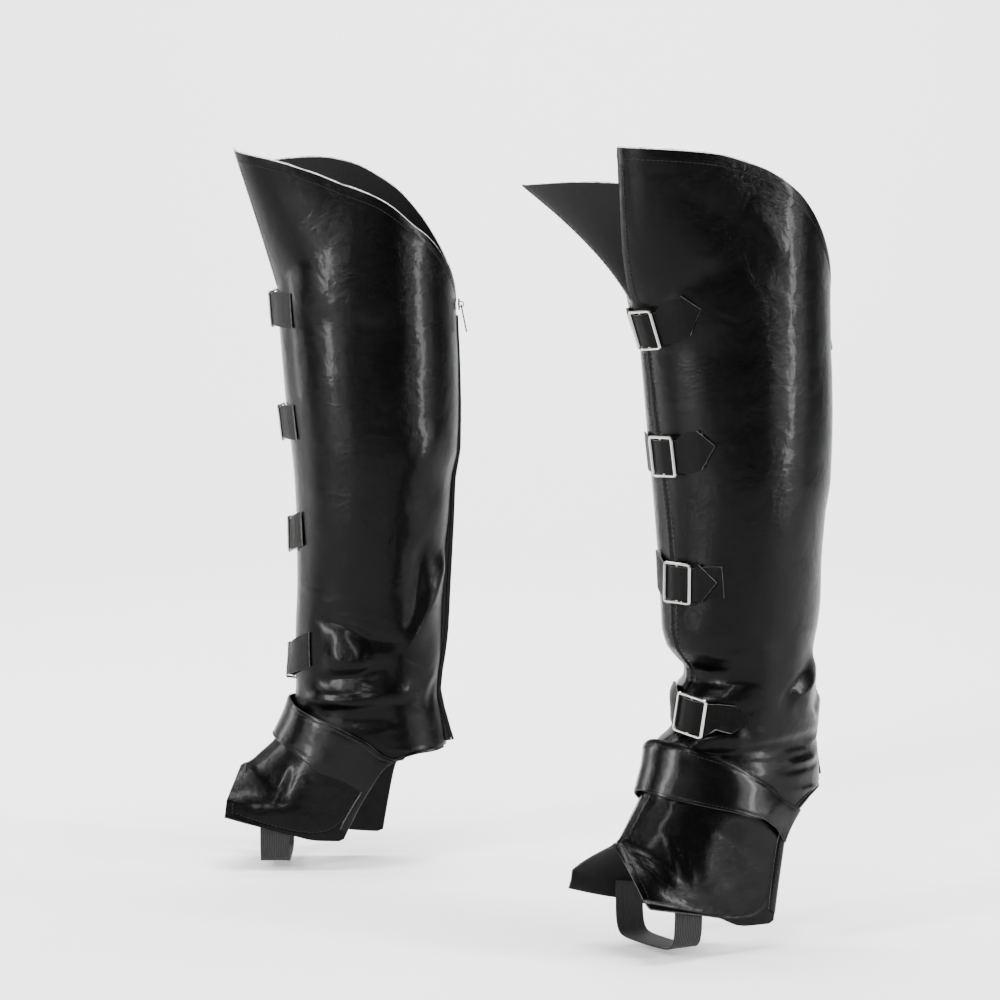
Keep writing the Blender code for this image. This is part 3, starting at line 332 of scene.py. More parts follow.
# the largest folds: cover, panel, depth (- trough, + ridge), half width, then (row, part of arc) points
FOLDS = (
    ("right", "med",  3.6, 13.0, ((271, 0.93), (228, 0.83), (197, 0.725), (177, 0.67))),
    ("right", "med", -2.6, 10.0, ((283, 0.73), (223, 0.745), (186, 0.66))),
    ("right", "med", -3.2,  9.0, ((212, 0.20), (204, 0.385), (193, 0.505), (191, 0.61), (196, 0.70))),
    ("right", "med",  3.2, 13.0, ((182, 0.26), (176, 0.40), (178, 0.53))),
    ("right", "med", -3.0,  8.0, ((158, 0.20), (161, 0.40), (168, 0.55), (184, 0.62))),
    ("right", "med",  2.6,  8.0, ((146, 0.10), (143, 0.39), (149, 0.64), (160, 0.80))),
    ("right", "med", -2.6,  8.0, ((131, 0.22), (130, 0.45), (134, 0.66))),
    ("right", "lat",  3.0, 12.0, ((262, 0.90), (226, 0.78), (196, 0.66))),
    ("right", "lat", -3.2,  9.0, ((206, 0.15), (198, 0.34), (193, 0.56))),
    ("right", "lat", -3.0,  8.0, ((156, 0.18), (158, 0.42), (166, 0.62))),
    ("right", "lat",  2.8,  9.0, ((145, 0.20), (144, 0.50), (150, 0.72))),
    ("left", "lat",   3.8, 12.0, ((214, 0.86), (192, 0.72), (168, 0.64))),
    ("left", "lat",  -3.0, 10.0, ((196, 0.96), (176, 0.84), (158, 0.78))),
    ("left", "lat",  -3.4,  8.0, ((140, 0.10), (133, 0.36), (133, 0.545), (136, 0.70), (138, 0.90))),
    ("left", "lat",   2.6,  8.0, ((146, 0.10), (149, 0.28), (146, 0.42))),
    ("left", "med",  -4.0, 11.0, ((210, 0.05), (206, 0.22), (210, 0.42))),
    ("left", "med",  -3.0,  9.0, ((146, 0.10), (142, 0.40), (148, 0.70))),
    ("left", "med",   3.0, 11.0, ((182, 0.20), (176, 0.45), (184, 0.70))),
)
PANEL_NAME = {"lat": "outer", "med": "inner"}

# ------------------------------------------------------------------ points on and over the panels

def to_model(P):
    """standing frame, mm, to the model's frame, m"""
    return (np.asarray(P, float) - np.array(ORIGIN)) * 0.001


def cloth(cover, side, v, s):
    """panel point in the standing frame, without folds"""
    return world(cover, local(cover, side, v, s))


def cloth_normal(cover, side, v, s):
    """outward unit normal, from small steps along the row and across the rows"""
    v = np.asarray(v, float); s = np.asarray(s, float)
    e = 0.004
    s0, s1 = np.clip(s - e, 0, 1), np.clip(s + e, 0, 1)
    v0, v1 = np.clip(v - 0.8, 0, 600), np.clip(v + 0.8, 0, 600)
    ds = cloth(cover, side, v, s1) - cloth(cover, side, v, s0)
    dv = cloth(cover, side, v1, s) - cloth(cover, side, v0, s)
    n = np.cross(ds, dv)
    n *= COVERS[cover]["hand"] * (1 if side == "lat" else -1)
    return n / np.maximum(np.linalg.norm(n, axis=-1, keepdims=True), 1e-9)


def near_line(P, Q):
    """distance of points P to the line through Q, and where along it, 0..1"""
    best = np.full(P.shape[:-1], 1e9); along = np.zeros(P.shape[:-1])
    seg = np.linalg.norm(np.diff(Q, axis=0), axis=1); total = seg.sum(); run = 0.0
    for k in range(len(Q) - 1):
        d = Q[k+1] - Q[k]
        t = np.clip(((P - Q[k]) @ d) / max(d @ d, 1e-9), 0, 1)
        dist = np.linalg.norm(P - (Q[k] + t[..., None] * d), axis=-1)
        closer = dist < best
        best = np.where(closer, dist, best)
        along = np.where(closer, (run + t * seg[k]) / total, along)
        run += seg[k]
    return best, along


def fold_height(cover, side, P):
    out = np.zeros(P.shape[:-1])
    for c, sd, depth, width, path in FOLDS:
        if c != cover or sd != side:
            continue
        vv = pchip(np.linspace(0, 1, 13), np.linspace(0, 1, len(path)), [p[0] for p in path])
        ss = pchip(np.linspace(0, 1, 13), np.linspace(0, 1, len(path)), [p[1] for p in path])
        Q = cloth(cover, side, vv, ss)
        d, t = near_line(P, Q)
        out += depth * np.exp(-(d / width) ** 2) * smooth(t / 0.25) * smooth((1 - t) / 0.25)
    return out


def panel_point(cover, side, v, s):
    P = cloth(cover, side, v, s)
    h = fold_height(cover, side, P)
    # folds die out at the seam, the zip and the free edges
    edge = smooth(np.asarray(s) / 0.06) * smooth((1 - np.asarray(s)) / 0.05)
    return P + cloth_normal(cover, side, v, s) * (h * edge)[..., None]


def row_length(side, v):
    return base(side, v, 0.5, True)[1]


def over(cover, v, a, off, folds=False):
    """point at the arc distance a (mm, + outward) from the front line on row v, moved out by off"""
    v, a, off = np.broadcast_arrays(np.asarray(v, float), np.asarray(a, float), np.asarray(off, float))
    out = np.zeros(v.shape + (3,))
    for side, pick in (("lat", a >= 0), ("med", a < 0)):
        if pick.any():
            s = np.abs(a[pick]) / row_length(side, v[pick])
            P = panel_point(cover, side, v[pick], s) if folds else cloth(cover, side, v[pick], s)
            out[pick] = P + cloth_normal(cover, side, v[pick], s) * off[pick][..., None]
    return out


def unit(v):
    v = np.asarray(v, float)
    return v / np.linalg.norm(v)


def buckle_frame(cover, k):
    """place of a buckle: centre, and unit vectors outward along the strap, up across it, and off the panel"""
    ve, ae, vb, ab, vt, at = STRAPS[k][:6]
    c = over(cover, vb, ab, 0.0)
    x = unit(over(cover, vb, ab + 12, 0.0) - over(cover, vb, ab - 12, 0.0))
    y = over(cover, vb + 13, ab, 0.0) - over(cover, vb - 13, ab, 0.0)
    z = unit(np.cross(x, unit(y))) * COVERS[cover]["hand"]
    y = unit(np.cross(z, x)) * COVERS[cover]["hand"]
    roll = math.atan2(float(strap_row(k, ab + 8.0) - strap_row(k, ab - 8.0)), 16.0)
    x, y = x * math.cos(roll) + y * math.sin(roll), -x * math.sin(roll) + y * math.cos(roll)
    return c + z * STRAPS[k][8 if cover == "left" else 9], x, y, z


def strap_row(k, a):
    ve, ae, vb, ab, vt, at = STRAPS[k][:6]
    return pchip(a, [ae, ab, at], [ve, vb, vt])


def strap_width(d):
    """full width, less inside the frame"""
    return STRAP_WAIST + (STRAP_W - STRAP_WAIST) * float(smooth((abs(d) - 13.5) / 6.0))


def strap_grid(cover, k, step, across):
    """middle layer of a buckle strap: stations along it, points across it, the last row a chevron"""
    ve, ae, vb, ab, vt, at = STRAPS[k][:6]
    loop = STRAPS[k][6 if cover == "left" else 7]
    c, x, y, z = buckle_frame(cover, k)
    inside, outside = np.array(STRAP_IN_FRAME), np.array(STRAP_OFF_PANEL)
    n_in = max(2, int(round((ab - 20.0 - ae) / step)))
    n_out = max(1, int(round((at - 12.0 - ab - 20.0) / step)))
    d = list(np.linspace(ae - ab, -20.0, n_in + 1))
    d += [t for t in inside[:, 0]] if step > 4 else list(np.arange(-14.5, 14.6, 1.45))
    last = at - 12.0 - ab
    d += list(np.linspace(20.0, last, n_out + 1)) if last > 22.0 else [max(last, 17.5)]
    rows = []
    for t in d:
        w = strap_width(t) / 2
        if abs(t) <= 14.6:
            h = float(pchip(t, inside[:, 0], inside[:, 1]))
            rows.append(c + x * t + y * (across * w)[:, None] + z * h)
        else:
            h = float(pchip(t, outside[:, 0], outside[:, 1]))
            if t < ae - ab + 6:
                h = 1.5
            h += loop * math.exp(-((t + 19.0) / 8.0) ** 2)
            rows.append(over(cover, strap_row(k, ab + t) + across * w, ab + t, h, t > 0))
    G = np.array(rows)
    # chevron point: the middle line runs on to the tip, the edges end at the shoulders
    tip = over(cover, vt, at, 2.4 if at - ab > 36.0 else 3.3, True)      # a short strap ends on its chape
    mid = G[-1][len(across) // 2]
    G = np.concatenate([G, (G[-1] + (tip - mid) * (1 - np.abs(across))[:, None] + (G[-1] - G[-2]) * 0.03)[None]])
    return G


def back_frame(cover, v):
    """back line of the shaft: point, backward, sideways and upward directions"""
    p = cloth(cover, "lat", v, 1.0)
    up = unit(cloth(cover, "lat", min(v + 3, 600), 1.0) - cloth(cover, "lat", max(v - 3, HEM_BACK_ROW), 1.0))
    t = math.radians(float(table(v, COVERS[cover]["turn"])))
    back = world(cover, np.array([-math.cos(t), -math.sin(t), 0.0])) - world(cover, np.zeros(3))
    back = unit(back - up * (back @ up))
    side = unit(np.cross(up, back))
    return p, back, side, up


# ------------------------------------------------------------------ meshes from grids

def tri_mesh(name, verts, faces, slots, mats, smooth_all=True):
    me = bpy.data.meshes.new(name)
    me.from_pydata([tuple(p) for p in verts], [], faces)
    for m in mats:
        me.materials.append(m)
    me.update()
    me.polygons.foreach_set("material_index", slots)
    me.polygons.foreach_set("use_smooth", [smooth_all] * len(faces))
    me.update()
    ob = bpy.data.objects.new(name, me)
    bpy.context.scene.collection.objects.link(ob)
    return ob


def shell(name, outer, inner, mats, flip, rim=(2, 2, 2, 2), uv=None):
    """closed thin wall between two grids of points (standing frame, mm); mats: face, lining, then rims; rim = slot on the first row, last row, first column, last column"""
    R, C = outer.shape[:2]
    verts = np.concatenate([to_model(outer).reshape(-1, 3), to_model(inner).reshape(-1, 3)])
    o = R * C
    faces, slots = [], []
    def put(q, s):
        faces.append(q[::-1] if flip else q)
        slots.append(s)
    for i in range(R - 1):
        for j in range(C - 1):
            a, b, c, d = i*C + j, i*C + j + 1, (i+1)*C + j + 1, (i+1)*C + j
            put((a, b, c, d), 0)
            put((a + o, d + o, c + o, b + o), 1)
    for j in range(C - 1):
        put((j + 1, j, j + o, j + 1 + o), rim[0])
        k = (R - 1) * C
        put((k + j, k + j + 1, k + j + 1 + o, k + j + o), rim[1])
    for i in range(R - 1):
        a, d = i * C, (i + 1) * C
        put((a, d, d + o, a + o), rim[2])
        a, d = i * C + C - 1, (i + 1) * C + C - 1
        put((d, a, a + o, d + o), rim[3])
    ob = tri_mesh(name, verts, faces, slots, mats)
    if uv is not None:
        U = np.concatenate([uv.reshape(-1, 2), uv.reshape(-1, 2)]) * 0.001
        layer = ob.data.uv_layers.new(name="cloth")
        loops = np.empty(len(ob.data.loops), dtype=np.int32)
        ob.data.loops.foreach_get("vertex_index", loops)
        layer.data.foreach_set("uv", U[loops].ravel())
    # sharp where wall meets rim
    me = ob.data
    me.update()
    idx = np.empty(len(me.polygons), dtype=np.int32)
    me.polygons.foreach_get("material_index", idx)
    sharp = set()
    main_edges = {}
    for p, s in zip(me.polygons, slots):
        if s >= 2:
            for e in p.edge_keys:
                sharp.add(e)
    att = np.zeros(len(me.edges), dtype=bool)
    for k, e in enumerate(me.edges):
        if tuple(sorted(e.vertices)) in sharp:
            att[k] = True
    me.edges.foreach_set("use_edge_sharp", att)
    return ob


def grid_normals(G, sign):
    du = np.gradient(G, axis=1)
    dv = np.gradient(G, axis=0)
    n = np.cross(du, dv) * sign
    return n / np.maximum(np.linalg.norm(n, axis=-1, keepdims=True), 1e-9)


def run(G, axis, end=False):
    """distance from the first (or last) line of a grid, along the other lines"""
    d = np.linalg.norm(np.diff(G, axis=axis), axis=-1)
    z = np.zeros_like(np.take(d, [0], axis=axis))
    if end:
        d = np.flip(np.cumsum(np.flip(d, axis=axis), axis=axis), axis=axis)
        return np.concatenate([d, z], axis=axis)
    return np.concatenate([z, np.cumsum(d, axis=axis)], axis=axis)


def level_line(G, N, D, level, axis):
    """points and normals where D, which runs along axis, passes level"""
    P, Q = [], []
    n = G.shape[1 - axis]
    for k in range(n):
        g, m, d = (G[:, k], N[:, k], D[:, k]) if axis == 0 else (G[k], N[k], D[k])
        if d[0] > d[-1]:
            g, m, d = g[::-1], m[::-1], d[::-1]
        if d[-1] <= level:
            continue
        P.append([np.interp(level, d, g[:, c]) for c in range(3)])
        Q.append([np.interp(level, d, m[:, c]) for c in range(3)])
    return np.array(P), np.array(Q)


class Thread:
    """collects stitches, then makes them one mesh"""
    def __init__(self):
        self.v, self.f = [], []

    def line(self, P, N, pitch=3.4, length=2.6, width=0.75, lift=0.2, start=0.0):
        P = np.asarray(P, float); N = np.asarray(N, float)
        if len(P) < 2:
            return
        t = np.concatenate([[0], np.cumsum(np.linalg.norm(np.diff(P, axis=0), axis=1))])
        n = int((t[-1] - start) / pitch)
        for k in range(n):
            a = start + (k + 0.5) * pitch - length / 2
            q = np.array([a, a + length * 0.5, a + length])
            p = np.stack([np.interp(q, t, P[:, c]) for c in range(3)], axis=1)
            m = np.stack([np.interp(q, t, N[:, c]) for c in range(3)], axis=1)
            d = unit(p[2] - p[0])
            base_i = len(self.v)
            for j in range(3):
                nn = unit(m[j]); w = np.cross(d, nn)
                h = lift + (0.34 if j == 1 else -0.12)
                r = width / 2 * (1.0 if j == 1 else 0.6)
                self.v += [p[j] + w*r + nn*(h - 0.25), p[j] + w*r*0.5 + nn*h, p[j] - w*r*0.5 + nn*h, p[j] - w*r + nn*(h - 0.25)]
            for j in range(2):
                b = base_i + 4*j
                for c in range(4):
                    e = (c + 1) % 4
                    self.f.append((b + c, b + e, b + 4 + e, b + 4 + c))
            self.f.append((base_i + 3, base_i + 2, base_i + 1, base_i))
            self.f.append((base_i + 8, base_i + 9, base_i + 10, base_i + 11))

    def make(self, name, mat):
        ob = tri_mesh(name, to_model(np.array(self.v)), self.f, [0] * len(self.f), [mat])
        bm = bmesh.new(); bm.from_mesh(ob.data)
        bmesh.ops.recalc_face_normals(bm, faces=bm.faces)
        bm.to_mesh(ob.data); bm.free()
        return ob


# ------------------------------------------------------------------ materials

def nodes_of(name):
    m = bpy.data.materials.new(name)
    m.use_nodes = True
    nt = m.node_tree
    return m, nt, nt.nodes["Principled BSDF"]


def noise(nt, scale, detail=4.0, rough=0.55, vec=None, dist=0.0):
    n = nt.nodes.new("ShaderNodeTexNoise")
    n.inputs["Scale"].default_value = scale
    n.inputs["Detail"].default_value = detail
    n.inputs["Roughness"].default_value = rough
    n.inputs["Distortion"].default_value = dist
    if vec is not None:
        nt.links.new(vec, n.inputs["Vector"])
    return n


def bump(nt, height, strength, dist, before=None):
    b = nt.nodes.new("ShaderNodeBump")
    b.inputs["Strength"].default_value = strength
    b.inputs["Distance"].default_value = dist
    nt.links.new(height, b.inputs["Height"])
    if before is not None:
        nt.links.new(before, b.inputs["Normal"])
    return b.outputs["Normal"]


def ramp(nt, fac, stops):
    r = nt.nodes.new("ShaderNodeValToRGB")
    els = r.color_ramp.elements
    while len(els) < len(stops):
        els.new(0.5)
    for e, (p, c) in zip(els, stops):
        e.position = p
        e.color = (*c, 1.0) if len(c) == 3 else c
    nt.links.new(fac, r.inputs["Fac"])
    return r.outputs["Color"]


def map_range(nt, val, a, b, c, d):
    r = nt.nodes.new("ShaderNodeMapRange")
    for k, x in zip(("From Min", "From Max", "To Min", "To Max"), (a, b, c, d)):
        r.inputs[k].default_value = x
    nt.links.new(val, r.inputs["Value"])
    return r.outputs["Result"]


def objcoord(nt):
    return nt.nodes.new("ShaderNodeTexCoord").outputs["Object"]


def scaled(nt, vec, s):
    m = nt.nodes.new("ShaderNodeMapping")
    m.inputs["Scale"].default_value = s
    nt.links.new(vec, m.inputs["Vector"])
    return m.outputs["Vector"]


def leatherette(name, colour, rough, grain, coat, spec=0.42, dents=0.35):
    m, nt, b = nodes_of(name)
    co = objcoord(nt)
    cells = nt.nodes.new("ShaderNodeTexVoronoi")
    cells.feature = "DISTANCE_TO_EDGE"
    cells.inputs["Scale"].default_value = 900.0
    warp = noise(nt, 300.0, 3.0, vec=co)
    mix = nt.nodes.new("ShaderNodeMixRGB")
    mix.blend_type = "ADD"
    mix.inputs["Fac"].default_value = 0.0012
    nt.links.new(co, mix.inputs["Color1"])
    nt.links.new(warp.outputs["Color"], mix.inputs["Color2"])
    nt.links.new(mix.outputs["Color"], cells.inputs["Vector"])
    pebble = map_range(nt, cells.outputs["Distance"], 0.0, 0.35, 0.0, 1.0)
    fine = noise(nt, 2600.0, 3.0, vec=co)
    soft = noise(nt, 42.0, 3.0, 0.5, vec=co, dist=0.4)
    patch = noise(nt, 16.0, 4.0, 0.6, vec=co)
    wear = noise(nt, 160.0, 5.0, 0.65, vec=co)
    c = ramp(nt, patch.outputs["Fac"], ((0.3, tuple(x * 0.7 for x in colour)), (0.7, tuple(x * 1.35 for x in colour))))
    nt.links.new(c, b.inputs["Base Color"])
    nt.links.new(map_range(nt, wear.outputs["Fac"], 0.3, 0.72, rough - 0.03, rough + 0.05), b.inputs["Roughness"])
    n1 = bump(nt, soft.outputs["Fac"], dents, 0.004)
    n2 = bump(nt, pebble, grain, 0.00022, n1)
    n3 = bump(nt, fine.outputs["Fac"], grain * 0.6, 0.00008, n2)
    nt.links.new(n3, b.inputs["Normal"])
    b.inputs["Specular IOR Level"].default_value = spec
    b.inputs["Coat Weight"].default_value = coat
    b.inputs["Coat Roughness"].default_value = 0.16
    if coat > 0:
        nt.links.new(n1, b.inputs["Coat Normal"])
    return m


def woven(name, colour, rough, sheen, pitch=0.0011):
    m, nt, b = nodes_of(name)
    co = objcoord(nt)
    w1 = nt.nodes.new("ShaderNodeTexWave"); w1.bands_direction = "Z"
    w2 = nt.nodes.new("ShaderNodeTexWave"); w2.bands_direction = "DIAGONAL"
    for w in (w1, w2):
        w.inputs["Scale"].default_value = 0.314 / pitch
        w.inputs["Distortion"].default_value = 1.2
        w.inputs["Detail"].default_value = 2.0
        w.inputs["Detail Scale"].default_value = 3.0
        nt.links.new(co, w.inputs["Vector"])
    mx = nt.nodes.new("ShaderNodeMath"); mx.operation = "MAXIMUM"
    nt.links.new(w1.outputs["Fac"], mx.inputs[0]); nt.links.new(w2.outputs["Fac"], mx.inputs[1])
    fuzz = noise(nt, 900.0, 4.0, vec=co)
    c = ramp(nt, fuzz.outputs["Fac"], ((0.3, tuple(x * 0.6 for x in colour)), (0.75, tuple(x * 1.7 for x in colour))))
    nt.links.new(c, b.inputs["Base Color"])
    b.inputs["Roughness"].default_value = rough
    b.inputs["Sheen Weight"].default_value = sheen
    b.inputs["Sheen Roughness"].default_value = 0.5
    b.inputs["Specular IOR Level"].default_value = 0.2
    n1 = bump(nt, mx.outputs["Value"], 0.6, 0.0003)
    nt.links.new(bump(nt, fuzz.outputs["Fac"], 0.5, 0.0003, n1), b.inputs["Normal"])
    return m


def cut_edge(name, dark, light, scale=420.0):
    """raw edge of a cut: dark coat with pale fibres showing in places"""
    m, nt, b = nodes_of(name)
    f = noise(nt, scale, 6.0, 0.7, vec=objcoord(nt))
    c = ramp(nt, f.outputs["Fac"], ((0.36, dark), (0.56, light)))
    nt.links.new(c, b.inputs["Base Color"])
    b.inputs["Roughness"].default_value = 0.85
    b.inputs["Specular IOR Level"].default_value = 0.2
    nt.links.new(bump(nt, f.outputs["Fac"], 0.9, 0.0005), b.inputs["Normal"])
    return m


def metal(name, colour, rough, scratch=0.25):
    m, nt, b = nodes_of(name)
    co = objcoord(nt)
    s = noise(nt, 700.0, 6.0, 0.7, vec=scaled(nt, co, (1.0, 0.15, 1.0)))
    w = noise(nt, 130.0, 3.0, vec=co)
    c = ramp(nt, w.outputs["Fac"], ((0.3, tuple(x * 0.82 for x in colour)), (0.7, colour)))
    nt.links.new(c, b.inputs["Base Color"])
    b.inputs["Metallic"].default_value = 1.0
    nt.links.new(map_range(nt, s.outputs["Fac"], 0.3, 0.7, rough * 0.75, rough * 1.5), b.inputs["Roughness"])
    nt.links.new(bump(nt, s.outputs["Fac"], scratch, 0.00005), b.inputs["Normal"])
    return m


def plastic(name, colour, rough, spec=0.1):
    m, nt, b = nodes_of(name)
    n = noise(nt, 800.0, 4.0, vec=objcoord(nt))
    c = ramp(nt, n.outputs["Fac"], ((0.3, tuple(x * 0.7 for x in colour)), (0.7, tuple(x * 1.4 for x in colour))))
    nt.links.new(c, b.inputs["Base Color"])
    b.inputs["Roughness"].default_value = rough
    b.inputs["Specular IOR Level"].default_value = spec
    nt.links.new(bump(nt, n.outputs["Fac"], 0.2, 0.0001), b.inputs["Normal"])
    return m


def elastic(name):
    m, nt, b = nodes_of(name)
    tc = nt.nodes.new("ShaderNodeTexCoord")
    w = nt.nodes.new("ShaderNodeTexWave")
    w.bands_direction = "X"
    w.inputs["Scale"].default_value = 210.0
    w.inputs["Distortion"].default_value = 0.3
    nt.links.new(tc.outputs["UV"], w.inputs["Vector"])
    f = noise(nt, 1200.0, 4.0, vec=tc.outputs["Object"])
    # painted shade: the colour follows the rib height and is darker in the grooves between the ribs
    c = ramp(nt, w.outputs["Fac"], ((0.1, (0.002, 0.002, 0.002)), (0.7, (0.010, 0.010, 0.011))))
    nt.links.new(c, b.inputs["Base Color"])
    b.inputs["Roughness"].default_value = 0.75
    b.inputs["Sheen Weight"].default_value = 0.05
    b.inputs["Specular IOR Level"].default_value = 0.2
    n1 = bump(nt, w.outputs["Fac"], 0.8, 0.0005)
    nt.links.new(bump(nt, f.outputs["Fac"], 0.4, 0.0002, n1), b.inputs["Normal"])
    return m


MATS = {
    "face": leatherette("leatherette", (0.0006, 0.0006, 0.0007), 0.215, 0.34, 0.055, 0.05, 0.24),
    "band": leatherette("leatherette_strap", (0.0006, 0.0006, 0.0007), 0.20, 0.30, 0.07, 0.08, 0.12),
    "strap": leatherette("strap_leather", (0.0012, 0.0011, 0.0011), 0.42, 0.40, 0.0, 0.05, 0.08),
    "lining": woven("lining_knit", (0.0022, 0.0022, 0.0025), 0.9, 0.02),
    "edge": cut_edge("cut_edge_dark", (0.004, 0.004, 0.004), (0.03, 0.03, 0.029)),
    "raw": cut_edge("cut_edge_raw", (0.06, 0.06, 0.058), (0.62, 0.61, 0.59), 600.0),
    "pale": cut_edge("strap_cut_edge", (0.02, 0.0195, 0.0185), (0.12, 0.115, 0.108), 500.0),
    "nickel": metal("nickel", (0.46, 0.44, 0.415), 0.17),
    "gunmetal": plastic("black_enamel", (0.005, 0.005, 0.0055), 0.34, 0.3),
    "teeth": plastic("zip_teeth", (0.005, 0.005, 0.0055), 0.6, 0.06),
    "tape": woven("zip_tape", (0.005, 0.005, 0.0055), 0.85, 0.05, 0.0007),
    "elastic": elastic("elastic_webbing"),
    "thread": plastic("thread", (0.007, 0.007, 0.0075), 0.5),
}


# ------------------------------------------------------------------ pieces

# broad dents and swells of each panel, standing frame rows: cover, side, row, share of the way round, height mm, reach mm
DENTS = (
    ("right", "med", 440, 0.55, -1.3, 26), ("right", "med", 395, 0.30, 1.0, 30), ("right", "med", 350, 0.72, 1.2, 24),
    ("right", "med", 318, 0.42, -1.4, 22), ("right", "med", 300, 0.86, 1.1, 17), ("right", "med", 262, 0.25, -1.0, 24),
    ("right", "med", 248, 0.60, 1.3, 20), ("right", "med", 480, 0.25, 0.9, 24), ("right", "med", 226, 0.42, -1.0, 15),
    ("right", "lat", 430, 0.40, -1.2, 28), ("right", "lat", 360, 0.65, 1.1, 26), ("right", "lat", 310, 0.30, -1.0, 22),
    ("right", "lat", 255, 0.55, 1.0, 22), ("right", "lat", 490, 0.70, 0.9, 26),
    ("left", "lat", 470, 0.45, -0.9, 34), ("left", "lat", 405, 0.75, 0.8, 30), ("left", "lat", 350, 0.35, 0.8, 28),
    ("left", "lat", 300, 0.60, -1.0, 26), ("left", "lat", 255, 0.80, 1.2, 20), ("left", "lat", 240, 0.40, -0.9, 20),
    ("left", "lat", 215, 0.62, 0.9, 16), ("left", "lat", 100, 0.62, 0.9, 15), ("left", "lat", 75, 0.35, -0.8, 14),
    ("left", "med", 440, 0.40, -1.1, 28), ("left", "med", 370, 0.60, 1.1, 26), ("left", "med", 300, 0.35, -1.0, 22),
    ("left", "med", 250, 0.70, 1.0, 20),
    ("right", "med", 90, 0.45, 0.8, 14), ("right", "med", 70, 0.70, -0.7, 13), ("right", "lat", 95, 0.5, 0.8, 14), ("left", "med", 92, 0.5, 0.8, 14),
)
